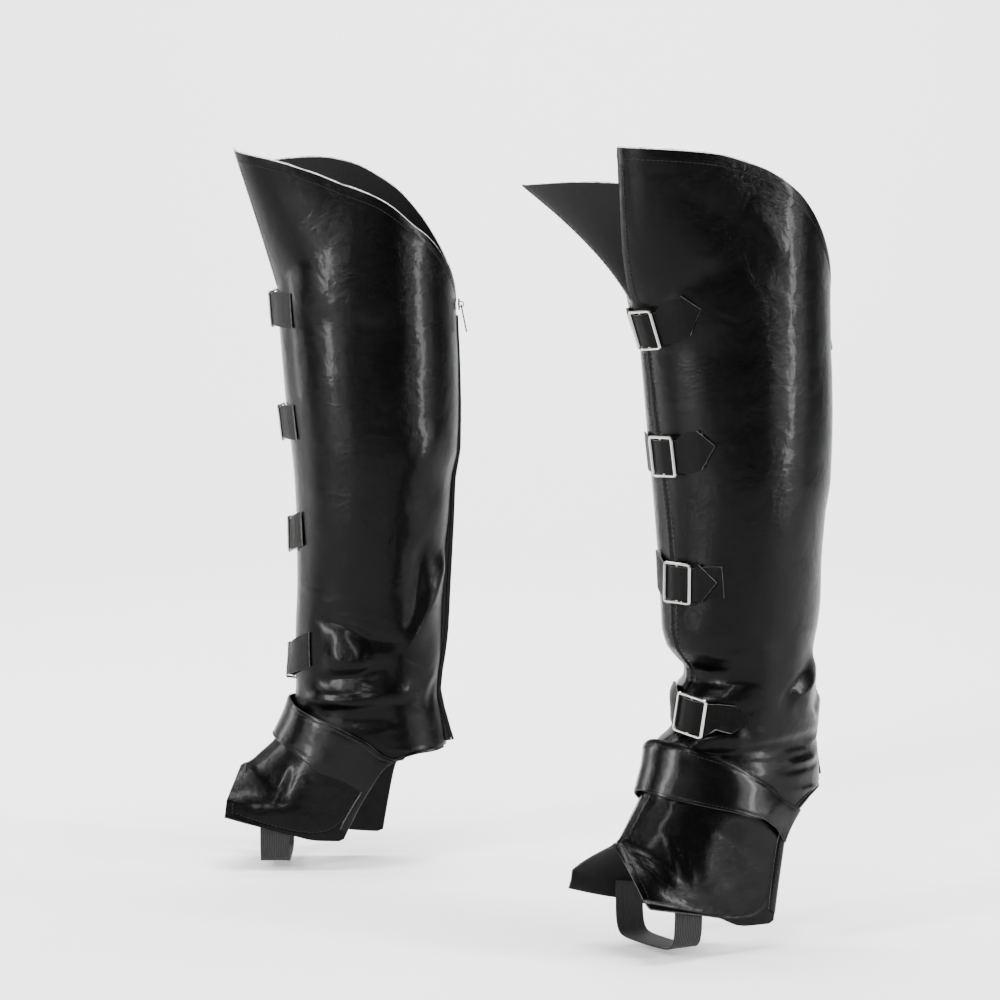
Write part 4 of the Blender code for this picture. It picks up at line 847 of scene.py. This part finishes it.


# main creases and ridges, listed one by one: cover, side, height mm, width mm, (row, share) along it
CREASES = (
    ("left", "lat", 1.5, 3.0, ((131, 0.34), (132, 0.545), (135, 0.70), (136, 0.86))),
    ("left", "lat", -1.7, 3.4, ((137, 0.33), (140, 0.50), (143, 0.68), (145, 0.84))),
    ("left", "lat", 1.0, 2.2, ((126, 0.60), (128, 0.72), (131, 0.88))),
    ("left", "lat", -1.0, 2.4, ((121, 0.55), (123, 0.72), (126, 0.90))),
    ("left", "lat", 0.9, 1.8, ((139, 0.74), (141, 0.82), (147, 0.90))),
    ("left", "lat", 1.3, 4.2, ((203, 0.795), (190, 0.70), (184, 0.635), (172, 0.62), (158, 0.635))),
    ("left", "lat", -1.3, 3.8, ((212, 0.74), (197, 0.63), (178, 0.575), (160, 0.58))),
    ("left", "lat", -1.2, 4.5, ((222, 0.90), (205, 0.87), (188, 0.84))),
    ("left", "lat", 1.0, 3.0, ((146, 0.12), (147, 0.22), (149, 0.32))),
    ("left", "lat", -1.1, 2.6, ((138, 0.11), (136, 0.25), (133, 0.36))),
    ("left", "lat", -1.0, 3.2, ((158, 0.10), (160, 0.22), (170, 0.36))),
    ("left", "lat", 0.8, 3.6, ((228, 0.08), (222, 0.20), (224, 0.34))),
    ("left", "lat", -1.5, 15.0, ((566, 0.24), (541, 0.365), (513, 0.475), (490, 0.55))),
    ("left", "lat", -0.9, 2.0, ((490, 0.19), (498, 0.24), (504, 0.28), (513, 0.32))),
    ("left", "lat", 0.7, 7.0, ((556, 0.40), (534, 0.49), (512, 0.57))),
    ("left", "lat", 1.1, 2.6, ((22, 0.10), (26, 0.26), (24, 0.46), (17, 0.66))),
    ("left", "lat", -1.1, 2.4, ((15, 0.12), (18, 0.32), (17, 0.52), (12, 0.72))),
    ("left", "lat", 0.7, 1.8, ((70, 0.20), (52, 0.26), (35, 0.34), (22, 0.52))),
    ("left", "lat", -0.6, 1.6, ((64, 0.23), (47, 0.30), (31, 0.40), (20, 0.60))),
    ("left", "lat", 0.5, 1.5, ((60, 0.30), (46, 0.37), (33, 0.48), (23, 0.66))),
    ("left", "lat", -0.9, 9.0, ((84, 0.62), (66, 0.60), (48, 0.62), (34, 0.70))),
    ("left", "lat", 1.0, 8.0, ((80, 0.45), (60, 0.46), (42, 0.52), (28, 0.64))),
    ("left", "med", -1.2, 3.2, ((205, 0.16), (196, 0.36), (190, 0.58))),
    ("left", "med", 1.1, 4.0, ((182, 0.30), (176, 0.48), (180, 0.66))),
    ("left", "med", -1.0, 3.0, ((150, 0.12), (154, 0.38), (160, 0.60))),
    ("left", "med", 1.2, 4.0, ((262, 0.90), (224, 0.82), (192, 0.70))),
    ("left", "med", 0.7, 2.0, ((66, 0.22), (48, 0.32), (30, 0.50))),
    ("right", "med", 1.5, 4.0, ((273, 0.94), (252, 0.89), (228, 0.83), (197, 0.725), (177, 0.66))),
    ("right", "med", -1.4, 5.0, ((284, 0.76), (250, 0.75), (223, 0.745), (187, 0.68))),
    ("right", "med", -1.3, 3.4, ((211, 0.20), (204, 0.385), (194, 0.505), (192, 0.61), (195, 0.71))),
    ("right", "med", 1.0, 3.0, ((217, 0.24), (211, 0.40), (203, 0.52), (199, 0.62))),
    ("right", "med", 1.3, 6.0, ((183, 0.31), (173, 0.425), (175, 0.53))),
    ("right", "med", -1.2, 3.4, ((160, 0.25), (163, 0.44), (173, 0.58))),
    ("right", "med", 1.0, 2.8, ((144, 0.10), (142, 0.39), (149, 0.65))),
    ("right", "med", 0.6, 1.6, ((148, 0.20), (147, 0.34), (151, 0.50))),
    ("right", "med", -1.1, 2.8, ((134, 0.22), (138, 0.515), (144, 0.74))),
    ("right", "med", 0.9, 3.0, ((169, 0.93), (155, 0.845), (140, 0.79))),
    ("right", "med", -0.8, 2.6, ((162, 0.95), (148, 0.88), (131, 0.84))),
    ("right", "med", -1.0, 12.0, ((470, 0.20), (452, 0.40), (446, 0.58))),
    ("right", "med", 0.8, 9.0, ((330, 0.62), (352, 0.74), (380, 0.80))),
    ("right", "med", 0.8, 2.4, ((78, 0.30), (62, 0.36), (40, 0.42), (26, 0.52))),
    ("right", "med", -0.8, 2.4, ((72, 0.38), (56, 0.44), (36, 0.50), (22, 0.62))),
    ("right", "med", 0.9, 8.0, ((88, 0.52), (66, 0.60), (50, 0.72))),
    ("right", "lat", 1.3, 3.0, ((134, 0.30), (133, 0.52), (137, 0.72), (139, 0.86))),
    ("right", "lat", -1.4, 3.4, ((141, 0.34), (142, 0.54), (146, 0.76))),
    ("right", "lat", 1.1, 4.4, ((208, 0.82), (192, 0.70), (178, 0.64), (162, 0.62))),
    ("right", "lat", -1.1, 4.0, ((214, 0.22), (206, 0.40), (210, 0.58))),
    ("right", "lat", 0.9, 3.2, ((160, 0.14), (166, 0.32), (162, 0.48))),
    ("right", "lat", 0.7, 2.0, ((66, 0.22), (48, 0.31), (31, 0.45), (22, 0.60))),
)


def wrinkles(cover, side):
    """small soft wrinkles about the ankle, uneven in length, depth and spacing; the seed is fixed per panel"""
    rng = np.random.RandomState({"leftlat": 11, "leftmed": 23, "rightlat": 37, "rightmed": 41}[cover + side])
    out = []
    for k in range(34):
        v = 122 + 118 * rng.rand() ** 1.4
        s = 0.06 + 0.84 * rng.rand()
        L = 0.06 + 0.20 * rng.rand()
        slope = rng.uniform(-26, 16)
        bend = rng.uniform(-5, 5)
        h = rng.choice((-1, 1)) * rng.uniform(0.16, 0.52) * (1.0 if v < 200 else 0.7)
        w = rng.uniform(1.3, 3.0)
        a, b = max(s - L/2, 0.03), min(s + L/2, 0.97)
        out.append((cover, side, h, w, ((v + slope*(a-s)/0.3, a), (v + bend*0.4, (a+b)/2), (v + slope*(b-s)/0.3, b))))
    for k in range(9):                                    # over the instep, running down and forward
        v = rng.uniform(58, 112)
        s = rng.uniform(0.15, 0.8)
        L = rng.uniform(0.10, 0.24)
        out.append((cover, side, rng.choice((-1, 1)) * rng.uniform(0.12, 0.34), rng.uniform(1.5, 3.2),
                    ((v + 7, max(s - L/2, 0.04)), (v, s), (v - 9, min(s + L/2, 0.95)))))
    return out


def add_lines(P0, cover, side, rows):
    out = np.zeros(P0.shape[:-1])
    for c, sd, depth, width, path in rows:
        vv = pchip(np.linspace(0, 1, 9), np.linspace(0, 1, len(path)), [p[0] for p in path])
        ss = pchip(np.linspace(0, 1, 9), np.linspace(0, 1, len(path)), [p[1] for p in path])
        Q = cloth(cover, side, vv, ss)
        near = np.linalg.norm(P0 - Q.mean(axis=0), axis=-1) < 60 + width * 4
        if not near.any():
            continue
        d, t = near_line(P0[near], Q)
        out[near] += depth * np.exp(-(d / width) ** 2) * smooth(t / 0.3) * smooth((1 - t) / 0.3)
    return out


def fine_rows():
    r = list(np.arange(465, 246, -4.2)) + list(np.arange(245, 112.5, -1.7)) + [112.0] + list(np.arange(110, 0.5, -2.2)) + [0.0]
    return tuple(float(x) for x in r)


def fine_cols():
    a = [0.0, 0.004, 0.010, 0.018, 0.030, 0.045]
    m = list(np.linspace(0.062, 0.945, 50))
    return tuple(a + m + [0.958, 0.970, 0.981, 0.990, 0.996, 1.0])


def fine_panel(cover, side, thread):
    V, S = panel_rc(side, 22, fine_rows(), fine_cols())
    L = row_length(side, V)
    back = np.where(V >= HEM_BACK_ROW, 1.9, 0.0)
    front = table(V, FRONT_GAP)
    A = front + (L - back - front) * S
    G0 = panel_point(cover, side, V, A / L)
    N0 = cloth_normal(cover, side, V, A / L)
    low_rows = [i for i in range(len(V)) if V[i, 0] < 104]
    a, z = low_rows[0], low_rows[-1]
    for r in range(60):
        M = G0[a:z].copy()
        M[:, 1:-1] = 0.25 * (G0[a-1:z-1, 1:-1] + G0[a+1:z+1, 1:-1] + G0[a:z, :-2] + G0[a:z, 2:])
        G0[a:z] = 0.5 * G0[a:z] + 0.5 * M
    P0 = cloth(cover, side, V, A / L)
    sign = COVERS[cover]["hand"] * (1 if side == "lat" else -1)
    h = add_lines(P0, cover, side, wrinkles(cover, side) + [r for r in CREASES if r[0] == cover and r[1] == side])
    for c, sd, v, s, height, reach in DENTS:
        if c == cover and sd == side:
            q = cloth(cover, side, np.array([float(v)]), np.array([float(s)]))[0]
            h += height * np.exp(-((np.linalg.norm(P0 - q, axis=-1) / reach) ** 2))
    d_top, d_low = run(G0, 0), run(G0, 0, True)
    d_front, d_back = A - front, (L - back) - A
    keep = smooth(d_front / 9) * smooth(d_back / 9) * smooth(d_top / 12) * smooth(d_low / 9)
    h = h * keep
    soft = h.copy()
    # turned edges: a little fuller up to the stitch line, which pulls in
    def hem(d, at, amount=1.0):
        return amount * (0.30 * (1 - smooth((d - at) / 1.6)) - 0.58 * np.exp(-((d - at) / 0.9) ** 2) - 0.35 * np.exp(-(d / 0.7) ** 2))
    slit = V > SLIT_Z
    low = V < HEM_BACK_ROW - 1
    h = h + hem(d_top, 8.0)
    h = h + np.where(slit, hem(d_front, 8.0) * smooth((d_top - 8) / 2), 0)
    h = h + np.where(low, hem(d_back, 6.0), 0) + hem(d_low, 6.0) * smooth((d_back - 6) / 2)
    # the front seam: a rolled valley with a stitch line beside it
    h = h + np.where(~slit, -0.75 * np.exp(-(d_front / 1.1) ** 2) + 0.22 * np.exp(-((d_front - 2.6) / 1.2) ** 2), 0)
    G = G0 + N0 * h[..., None]
    N = grid_normals(G, 1.0)
    flipn = np.sign((N * N0).sum(-1).mean())
    N = N * flipn
    uv = np.stack([A, V], axis=-1)
    wall = 1.25
    inner = G0 + N0 * (soft - wall)[..., None]
    flip = (COVERS[cover]["hand"] * (-1 if side == "lat" else 1)) > 0
    name = "%s_%s_panel_cloth" % (cover, PANEL_NAME[side])
    ob = shell(name, G, inner, [MATS["face"], MATS["lining"], MATS["edge"], MATS["raw"]], not flip, rim=(3, 2, 2, 2), uv=uv)
    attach(ob, "covers")
    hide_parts("%s_panel_%s" % (cover, PANEL_NAME[side]))
    # raw knit backing that shows above the cut edge, uneven in height
    rng = np.random.RandomState(5 + len(cover) + (7 if side == "lat" else 0))
    t = np.linspace(0, G.shape[1] - 1, 420)
    ix = np.arange(G.shape[1])
    edge = np.stack([np.interp(t, ix, G[0, :, c]) for c in range(3)], axis=1)
    nn = np.stack([np.interp(t, ix, N[0, :, c]) for c in range(3)], axis=1)
    upw = np.stack([np.interp(t, ix, (G[0] - G[2])[:, c]) for c in range(3)], axis=1)
    upw /= np.linalg.norm(upw, axis=1, keepdims=True)
    hgt = 0.35 + 0.8 * np.interp(t, np.linspace(0, t[-1], 40), rng.rand(40)) + 0.35 * rng.rand(len(t))
    hgt[:6] *= np.linspace(0.2, 1, 6); hgt[-6:] *= np.linspace(1, 0.2, 6)
    low_line = edge - upw * 0.5 - nn * 0.35
    F = np.stack([low_line, edge + upw * (hgt * 0.5)[:, None] - nn * 0.35, edge + upw * hgt[:, None] - nn * (0.45 + 0.3 * rng.rand(len(t)))[:, None]])
    B = F - nn[None] * 0.55
    fr = shell("%s_%s_raw_edge" % (cover, PANEL_NAME[side]), F, B, [MATS["raw"], MATS["raw"], MATS["raw"]], not flip)
    bm = bmesh.new(); bm.from_mesh(fr.data)
    bmesh.ops.recalc_face_normals(bm, faces=bm.faces)
    bm.to_mesh(fr.data); bm.free()
    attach(fr, "covers")
    # stitch lines
    P, Q = level_line(G, N, d_top, 8.0, 0)
    lo = 0
    dd = np.linalg.norm(P - P[0], axis=1)
    thread.line(P[np.argmax(dd > 7.0):], Q[np.argmax(dd > 7.0):])
    rows = [i for i in range(len(V)) if V[i, 0] > SLIT_Z + 2 and d_top[i, 8] > 7.5]
    if rows:
        P, Q = level_line(G[rows], N[rows], d_front[rows], 8.0, 1)
        thread.line(P, Q)
    rows = [i for i in range(len(V)) if V[i, 0] <= SLIT_Z - 4]
    P, Q = level_line(G[rows], N[rows], d_front[rows], 2.9, 1)
    thread.line(P, Q, pitch=3.6, length=2.5, width=0.45)
    rows = [i for i in range(len(V)) if V[i, -1] < HEM_BACK_ROW - 1 and d_low[i, -1] > 5.5]
    P, Q = level_line(G[rows], N[rows], d_back[rows], 6.0, 1)
    thread.line(P, Q)
    P, Q = level_line(G, N, d_low, 6.0, 0)
    thread.line(P[:-3], Q[:-3])
    return ob, G, N


def thick(name, mid, t, sign, mats, rim, uv=None, crown=0.0):
    """a strap from its middle layer; crown lowers its face towards the edges, and is 0 unless given"""
    n = grid_normals(mid, sign)
    a = np.linspace(-1, 1, mid.shape[1])
    c = (1 - np.abs(a) ** 6) * crown
    return shell(name, mid + n * (t/2 + c[None, :, None] - crown), mid - n * (t/2), mats, sign < 0, rim=rim, uv=uv), n


def fine_strap(cover, k, thread):
    hand = COVERS[cover]["hand"]
    across = np.linspace(-1, 1, 9)
    G = strap_grid(cover, k, 1.6, across)
    # ease the loop over the front line
    dist = run(G, 0)[:, 4]
    centre = buckle_frame(cover, k)[0]
    away = np.linalg.norm(G[:, 4] - centre, axis=-1)
    first = next(i for i in range(len(G)) if away[i] < 15.5)
    lo = 2
    for r in range(30):
        G[lo:first] = 0.25 * G[lo-1:first-1] + 0.5 * G[lo:first] + 0.25 * G[lo+1:first+1]
    if cover == "left" and k == 3:
        # the sewn end of the lowest strap is pulled in at its upper corner
        for i in range(len(G)):
            f = 1.0 - 0.40 * max(0.0, 1.0 - dist[i] / 14.0)
            for j in range(9):
                if j != 4:
                    G[i, j] = G[i, 4] + (G[i, j] - G[i, 4]) * f
    tip_row, before = G[-1], G[-2]
    extra = np.stack([before + (tip_row - before) * f for f in (0.25, 0.5, 0.75)])
    G = np.concatenate([G[:-1], extra, G[-1:]])
    # outward side of the grid
    n = grid_normals(G, 1.0)
    c, x, y, z = buckle_frame(cover, k)
    sign = 1.0 if (n[len(G)//2, 4] @ z) > 0 else -1.0
    u = np.stack(np.broadcast_arrays(run(G, 0), across[None, :] * 14), axis=-1)
    ob, n = thick("%s_strap_%d_leather" % (cover, k + 1), G, STRAP_T, sign, [MATS["strap"], MATS["strap"], MATS["pale"]], (2, 2, 2, 2), uv=u)
    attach(ob, "covers")
    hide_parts("%s_strap_%d" % (cover, k + 1))
    # box of stitches on the sewn end
    ve, ae, vb, ab, vt, at = STRAPS[k][:6]
    face = G + n * (STRAP_T / 2)
    d = run(G, 0)[:, 4]
    for level in (3.0, 11.0):
        i = int(np.argmin(np.abs(d - level)))
        thread.line(face[i, 1:-1], n[i, 1:-1], pitch=2.9, length=2.1, width=0.45, lift=0.12)
    i0, i1 = int(np.argmin(np.abs(d - 3))), int(np.argmin(np.abs(d - 11)))
    for j in (1, 7):
        thread.line(face[i0:i1 + 1, j], n[i0:i1 + 1, j], pitch=2.9, length=2.1, width=0.45, lift=0.12)
    return ob


def fine_chape(cover, k, thread):
    ab = STRAPS[k][3]
    c, x, y, z = buckle_frame(cover, k)
    across = np.linspace(-1, 1, 7) * 11.6
    rows = [c + x * d + y * across[:, None] + z * h for d, h in CHAPE_IN_FRAME]
    rows += [over(cover, strap_row(k, ab + d) + across, ab + d, h, True) for d, h in CHAPE_OFF_PANEL]
    G = np.array(rows)
    n = grid_normals(G, 1.0)
    sign = 1.0 if (n[len(G)//2, 3] @ z) > 0 else -1.0
    ob, n = thick("%s_chape_%d_leather" % (cover, k + 1), G, CHAPE_T, sign, [MATS["strap"], MATS["strap"], MATS["pale"]], (2, 2, 2, 2))
    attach(ob, "covers")
    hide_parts("%s_chape_%d" % (cover, k + 1))
    return ob


def fine_band(cover, thread):
    t = np.array(BAND)
    q = np.linspace(-0.985, 0.985, 121)
    fs = np.array((0.0, 0.035, 0.075, 0.12, 0.2, 0.35, 0.5, 0.65, 0.8, 0.88, 0.925, 0.965, 1.0))
    G = np.zeros((len(q), len(fs), 3)); M = np.zeros_like(G)
    vt = pchip(q, t[:, 0], t[:, 1]); vl = pchip(q, t[:, 0], t[:, 2])
    ot = pchip(q, t[:, 0], t[:, 3]); ol = pchip(q, t[:, 0], t[:, 4])
    for side, pick in (("lat", q >= 0), ("med", q < 0)):
        for j, f in enumerate(fs):
            v = (vt + (vl - vt) * f)[pick]
            s = np.minimum(np.abs(q[pick]), 0.985)
            off = (ot + (ol - ot) * f)[pick] + BAND_T / 2 + 0.6 * math.sin(math.pi * f)
            nn = cloth_normal(cover, side, v, s)
            G[pick, j] = cloth(cover, side, v, s) + nn * off[:, None]
            M[pick, j] = nn
    # the front line crosses from one panel to the other: the middle is eased over it
    for r in range(3):
        for i in range(54, 67):
            G[i] = 0.25 * G[i-1] + 0.5 * G[i] + 0.25 * G[i+1]
    n = grid_normals(G, 1.0)
    sign = 1.0 if (n * M).sum() > 0 else -1.0
    n = n * sign
    fr = fs
    groove = np.zeros(len(fr))
    for g in (0.092, 0.908):
        groove += -0.6 * np.exp(-((fr - g) / 0.022) ** 2)
    pad = 0.25 * np.sin(np.pi * np.clip((fr - 0.1) / 0.8, 0, 1)) ** 0.5
    roll = -0.5 * np.exp(-(fr / 0.022) ** 2) - 0.5 * np.exp(-((1 - fr) / 0.022) ** 2)
    face = G + n * (BAND_T / 2 + groove + pad * 0.6 + roll)[None, :, None]
    backf = G - n * (BAND_T / 2)
    u = np.stack(np.broadcast_arrays(run(G, 0), fs[None, :] * 38), axis=-1)
    ob = shell("%s_instep_strap_cloth" % cover, face, backf, [MATS["band"], MATS["band"], MATS["edge"]], sign < 0, uv=u)
    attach(ob, "covers")
    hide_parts("%s_instep_strap" % cover)
    for j in (2, 10):
        thread.line(face[:, j], n[:, j], pitch=3.5, length=2.6, width=0.55, lift=0.22)
    return ob


def rear_binding(cover, side, G, N, thread):
    """folded strip on the rear hem, made from the panel's points and moved out"""
    V, S = panel_rc(side, 22, fine_rows(), fine_cols())
    rows = [i for i in range(len(V)) if 34 < V[i, -1] < HEM_BACK_ROW - 1]
    g, m = G[rows], N[rows]
    D = run(g, 1, True)
    lines, norms = [], []
    for level, off in ((0.05, 0.40), (0.5, 1.1), (1.6, 1.6), (3.6, 1.75), (5.6, 1.5), (7.0, 0.95), (7.5, 0.40)):
        P, Q = level_line(g, m, D, level, 1)
        lines.append(P + Q * off); norms.append(Q)
    A = np.stack(lines, axis=1); Q = np.stack(norms, axis=1)
    inner = A - Q * 0.35
    n = grid_normals(A, 1.0)
    sign = 1.0 if (n * Q).sum() > 0 else -1.0
    ob = shell("%s_%s_rear_binding" % (cover, PANEL_NAME[side]), A, inner, [MATS["band"], MATS["band"], MATS["pale"]], sign < 0)
    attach(ob, "covers")
    thread.line(A[:, 4], Q[:, 4], pitch=3.4, length=2.5, width=0.5, lift=0.1)
    return ob


def teeth(cover):
    """moulded teeth on the closed chain, in turn from either tape"""
    v, f = [], []
    vs, d0 = [], 0.0
    line = [back_frame(cover, x) for x in np.arange(458.0, 114.5, -0.5)]
    pts = np.array([b[0] for b in line])
    t = np.concatenate([[0], np.cumsum(np.linalg.norm(np.diff(pts, axis=0), axis=1))])
    n = int(t[-1] / 1.45)
    for k in range(n):
        i = int(np.searchsorted(t, k * 1.45))
        p, back, side, up = line[min(i, len(line) - 1)]
        fin = float(table(458.0 - 0.5 * i, FIN))
        c = p + back * (fin - 0.85) + side * (0.55 if k % 2 else -0.55)
        b0 = len(v)
        for dx in (-0.9, 1.0):
            for dy in (-0.75, 0.75):
                for dz in (-0.5, 0.5):
                    sh = 0.8 if dx > 0 else 1.0
                    v.append(c + back * dx + side * dy * sh + up * dz * sh)
        f += [tuple(b0 + q for q in face) for face in ((0, 1, 3, 2), (4, 6, 7, 5), (0, 4, 5, 1), (2, 3, 7, 6), (0, 2, 6, 4), (1, 5, 7, 3))]
    ob = tri_mesh("%s_zip_teeth" % cover, to_model(np.array(v)), f, [0] * len(f), [MATS["teeth"]], False)
    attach(ob, "covers")
    # the woven cord that holds the teeth on the edges of the tapes
    v, f = [], []
    for i in range(0, len(line), 4):
        p, back, side, up = line[i]
        fin = float(table(458.0 - 0.5 * i, FIN))
        for db, ds in ((-3.4, -1.32), (-1.3, -1.32), (-1.3, 1.32), (-3.4, 1.32)):
            v.append(p + back * (fin + db) + side * ds)
    n = len(v) // 4
    for k in range(n - 1):
        for c in range(4):
            e = (c + 1) % 4
            f.append((4*k + c, 4*k + e, 4*k + 4 + e, 4*k + 4 + c))
    f += [(3, 2, 1, 0), (4*n - 4, 4*n - 3, 4*n - 2, 4*n - 1)]
    cord = tri_mesh("%s_zip_edge_cord" % cover, to_model(np.array(v)), f, [0] * len(f), [MATS["lining"]])
    bm = bmesh.new(); bm.from_mesh(cord.data)
    bmesh.ops.recalc_face_normals(bm, faces=bm.faces)
    bm.to_mesh(cord.data); bm.free()
    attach(cord, "covers")
    return ob


def fine_stirrup(cover, thread):
    xm, hand = STIRRUP_X[cover], COVERS[cover]["hand"]
    path = ((39.2, 46.0), (39.2, 36.0), (38.8, 24.0), (37.0, 14.0), (32.0, 8.5), (22.0, STIRRUP_Z + 0.4), (0.0, STIRRUP_Z))
    path = np.array(path + tuple((-y, z) for y, z in path[-2::-1]))
    t = np.concatenate([[0], np.cumsum(np.linalg.norm(np.diff(path, axis=0), axis=1))])
    tt = np.linspace(0, t[-1], 81)
    yy, zz = pchip(tt, t, path[:, 0]), pchip(tt, t, path[:, 1])
    a = np.linspace(-1, 1, 13)
    G = np.zeros((len(tt), len(a), 3))
    for i in range(len(tt)):
        tuck = float(smooth((zz[i] - 24) / 10))
        for j, aj in enumerate(a):
            dx = aj * STIRRUP_W / 2
            ease = 0.5 * (1 - abs(aj) ** 4)
            G[i, j] = world(cover, np.array([xm + dx, yy[i], zz[i] + 0.14 * dx * tuck + ease * 0.2]))
    n = grid_normals(G, 1.0)
    mid = world(cover, np.array([xm, 0.0, 60.0]))
    sign = 1.0 if (n[40, 6] @ (G[40, 6] - mid)) > 0 else -1.0
    u = np.stack(np.broadcast_arrays(a[None, :] * STIRRUP_W / 2, run(G, 0)), axis=-1)
    ob, n = thick("%s_stirrup_elastic" % cover, G, STIRRUP_T, sign, [MATS["elastic"], MATS["elastic"], MATS["elastic"]], (2, 2, 2, 2), uv=u)
    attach(ob, "covers")
    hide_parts("%s_stirrup" % cover)
    return ob


def dress(node, mat, smooth_deg=None):
    ob = frame["nodes"][node]
    ob.data.materials.clear()
    ob.data.materials.append(mat)
    return ob


# ------------------------------------------------------------------ camera, light, floor

def stage_set():
    scn = bpy.context.scene
    cam = bpy.data.cameras.new("camera")
    cam.lens = 135.3
    cam.sensor_width = 36.0
    cam.clip_end = 60.0
    co = bpy.data.objects.new("camera", cam)
    co.location = (-0.036, -2.9555, 0.215)
    co.rotation_euler = (math.radians(90 - 5.32), 0.0, 0.0)
    scn.collection.objects.link(co)
    scn.camera = co
    # floor with a soft upward sweep behind
    prof = [(-7.0, 0.0), (2.6, 0.0)] + [(2.6 + 1.4 * math.sin(t), 1.4 - 1.4 * math.cos(t)) for t in np.linspace(0.1, math.pi/2, 14)] + [(4.0, 5.0)]
    v, f = [], []
    for y, z in prof:
        v += [(-7.0, y, z - 0.380), (7.0, y, z - 0.380)]
    for i in range(len(prof) - 1):
        f.append((2*i, 2*i + 1, 2*i + 3, 2*i + 2))
    m, nt, b = nodes_of("paper")
    c = ramp(nt, noise(nt, 3.0, 3.0).outputs["Fac"], ((0.3, (0.80, 0.80, 0.80)), (0.7, (0.84, 0.84, 0.84))))
    nt.links.new(c, b.inputs["Base Color"])
    b.inputs["Roughness"].default_value = 0.9
    b.inputs["Specular IOR Level"].default_value = 0.1
    fl = tri_mesh("floor", v, f, [0] * len(f), [m])
    w = bpy.data.worlds.new("studio")
    w.use_nodes = True
    w.node_tree.nodes["Background"].inputs["Color"].default_value = (0.93, 0.95, 1.0, 1.0)
    w.node_tree.nodes["Background"].inputs["Strength"].default_value = WORLD
    scn.world = w
    for name, loc, target, size, power in LIGHTS:
        li = bpy.data.lights.new(name, "AREA")
        li.shape = "RECTANGLE"
        li.size, li.size_y = size
        li.energy = power
        ob = bpy.data.objects.new(name, li)
        ob.location = loc
        d = Vector(target) - Vector(loc)
        ob.rotation_euler = d.to_track_quat("-Z", "Y").to_euler()
        scn.collection.objects.link(ob)


WORLD = 0.28
LIGHTS = (
    ("key_left", (-2.1, -1.9, 0.55), (0.0, 0.0, 0.0), (0.42, 1.5), 160.0),
    ("strip_front", (-0.55, -2.5, 1.1), (0.0, 0.0, 0.1), (0.25, 0.8), 30.0),
    ("fill_right", (2.2, -1.0, 0.45), (0.1, 0.0, 0.0), (0.30, 1.4), 110.0),
    ("rim_left", (-1.7, 0.55, 0.3), (0.1, 0.0, -0.1), (0.3, 1.1), 32.0),
    ("top", (0.1, -0.4, 2.6), (0.0, 0.1, 0.0), (1.4, 1.0), 150.0),
    ("back_floor", (0.0, 1.6, 2.6), (0.0, 3.2, 0.2), (3.2, 1.2), 300.0),
)


def main():
    stage_set()
    for cover in ("left", "right"):
        thread = Thread()
        grids = {}
        for side in ("lat", "med"):
            ob, G, N = fine_panel(cover, side, thread)
            rear_binding(cover, side, G, N, thread)
        fine_band(cover, thread)
        for k in range(len(STRAPS)):
            fine_strap(cover, k, thread)
            fine_chape(cover, k, thread)
            dress("%s_buckle_%d" % (cover, k + 1), MATS["nickel"])
        dress("%s_zip_tape_outer" % cover, MATS["tape"])
        dress("%s_zip_tape_inner" % cover, MATS["tape"])
        dress("%s_zip_chain" % cover, MATS["teeth"])
        dress("%s_zip_slider" % cover, MATS["gunmetal"])
        dress("%s_zip_pull" % cover, MATS["gunmetal"])
        teeth(cover)
        fine_stirrup(cover, thread)
        st = thread.make("%s_stitching" % cover, MATS["thread"])
        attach(st, "covers")


main()
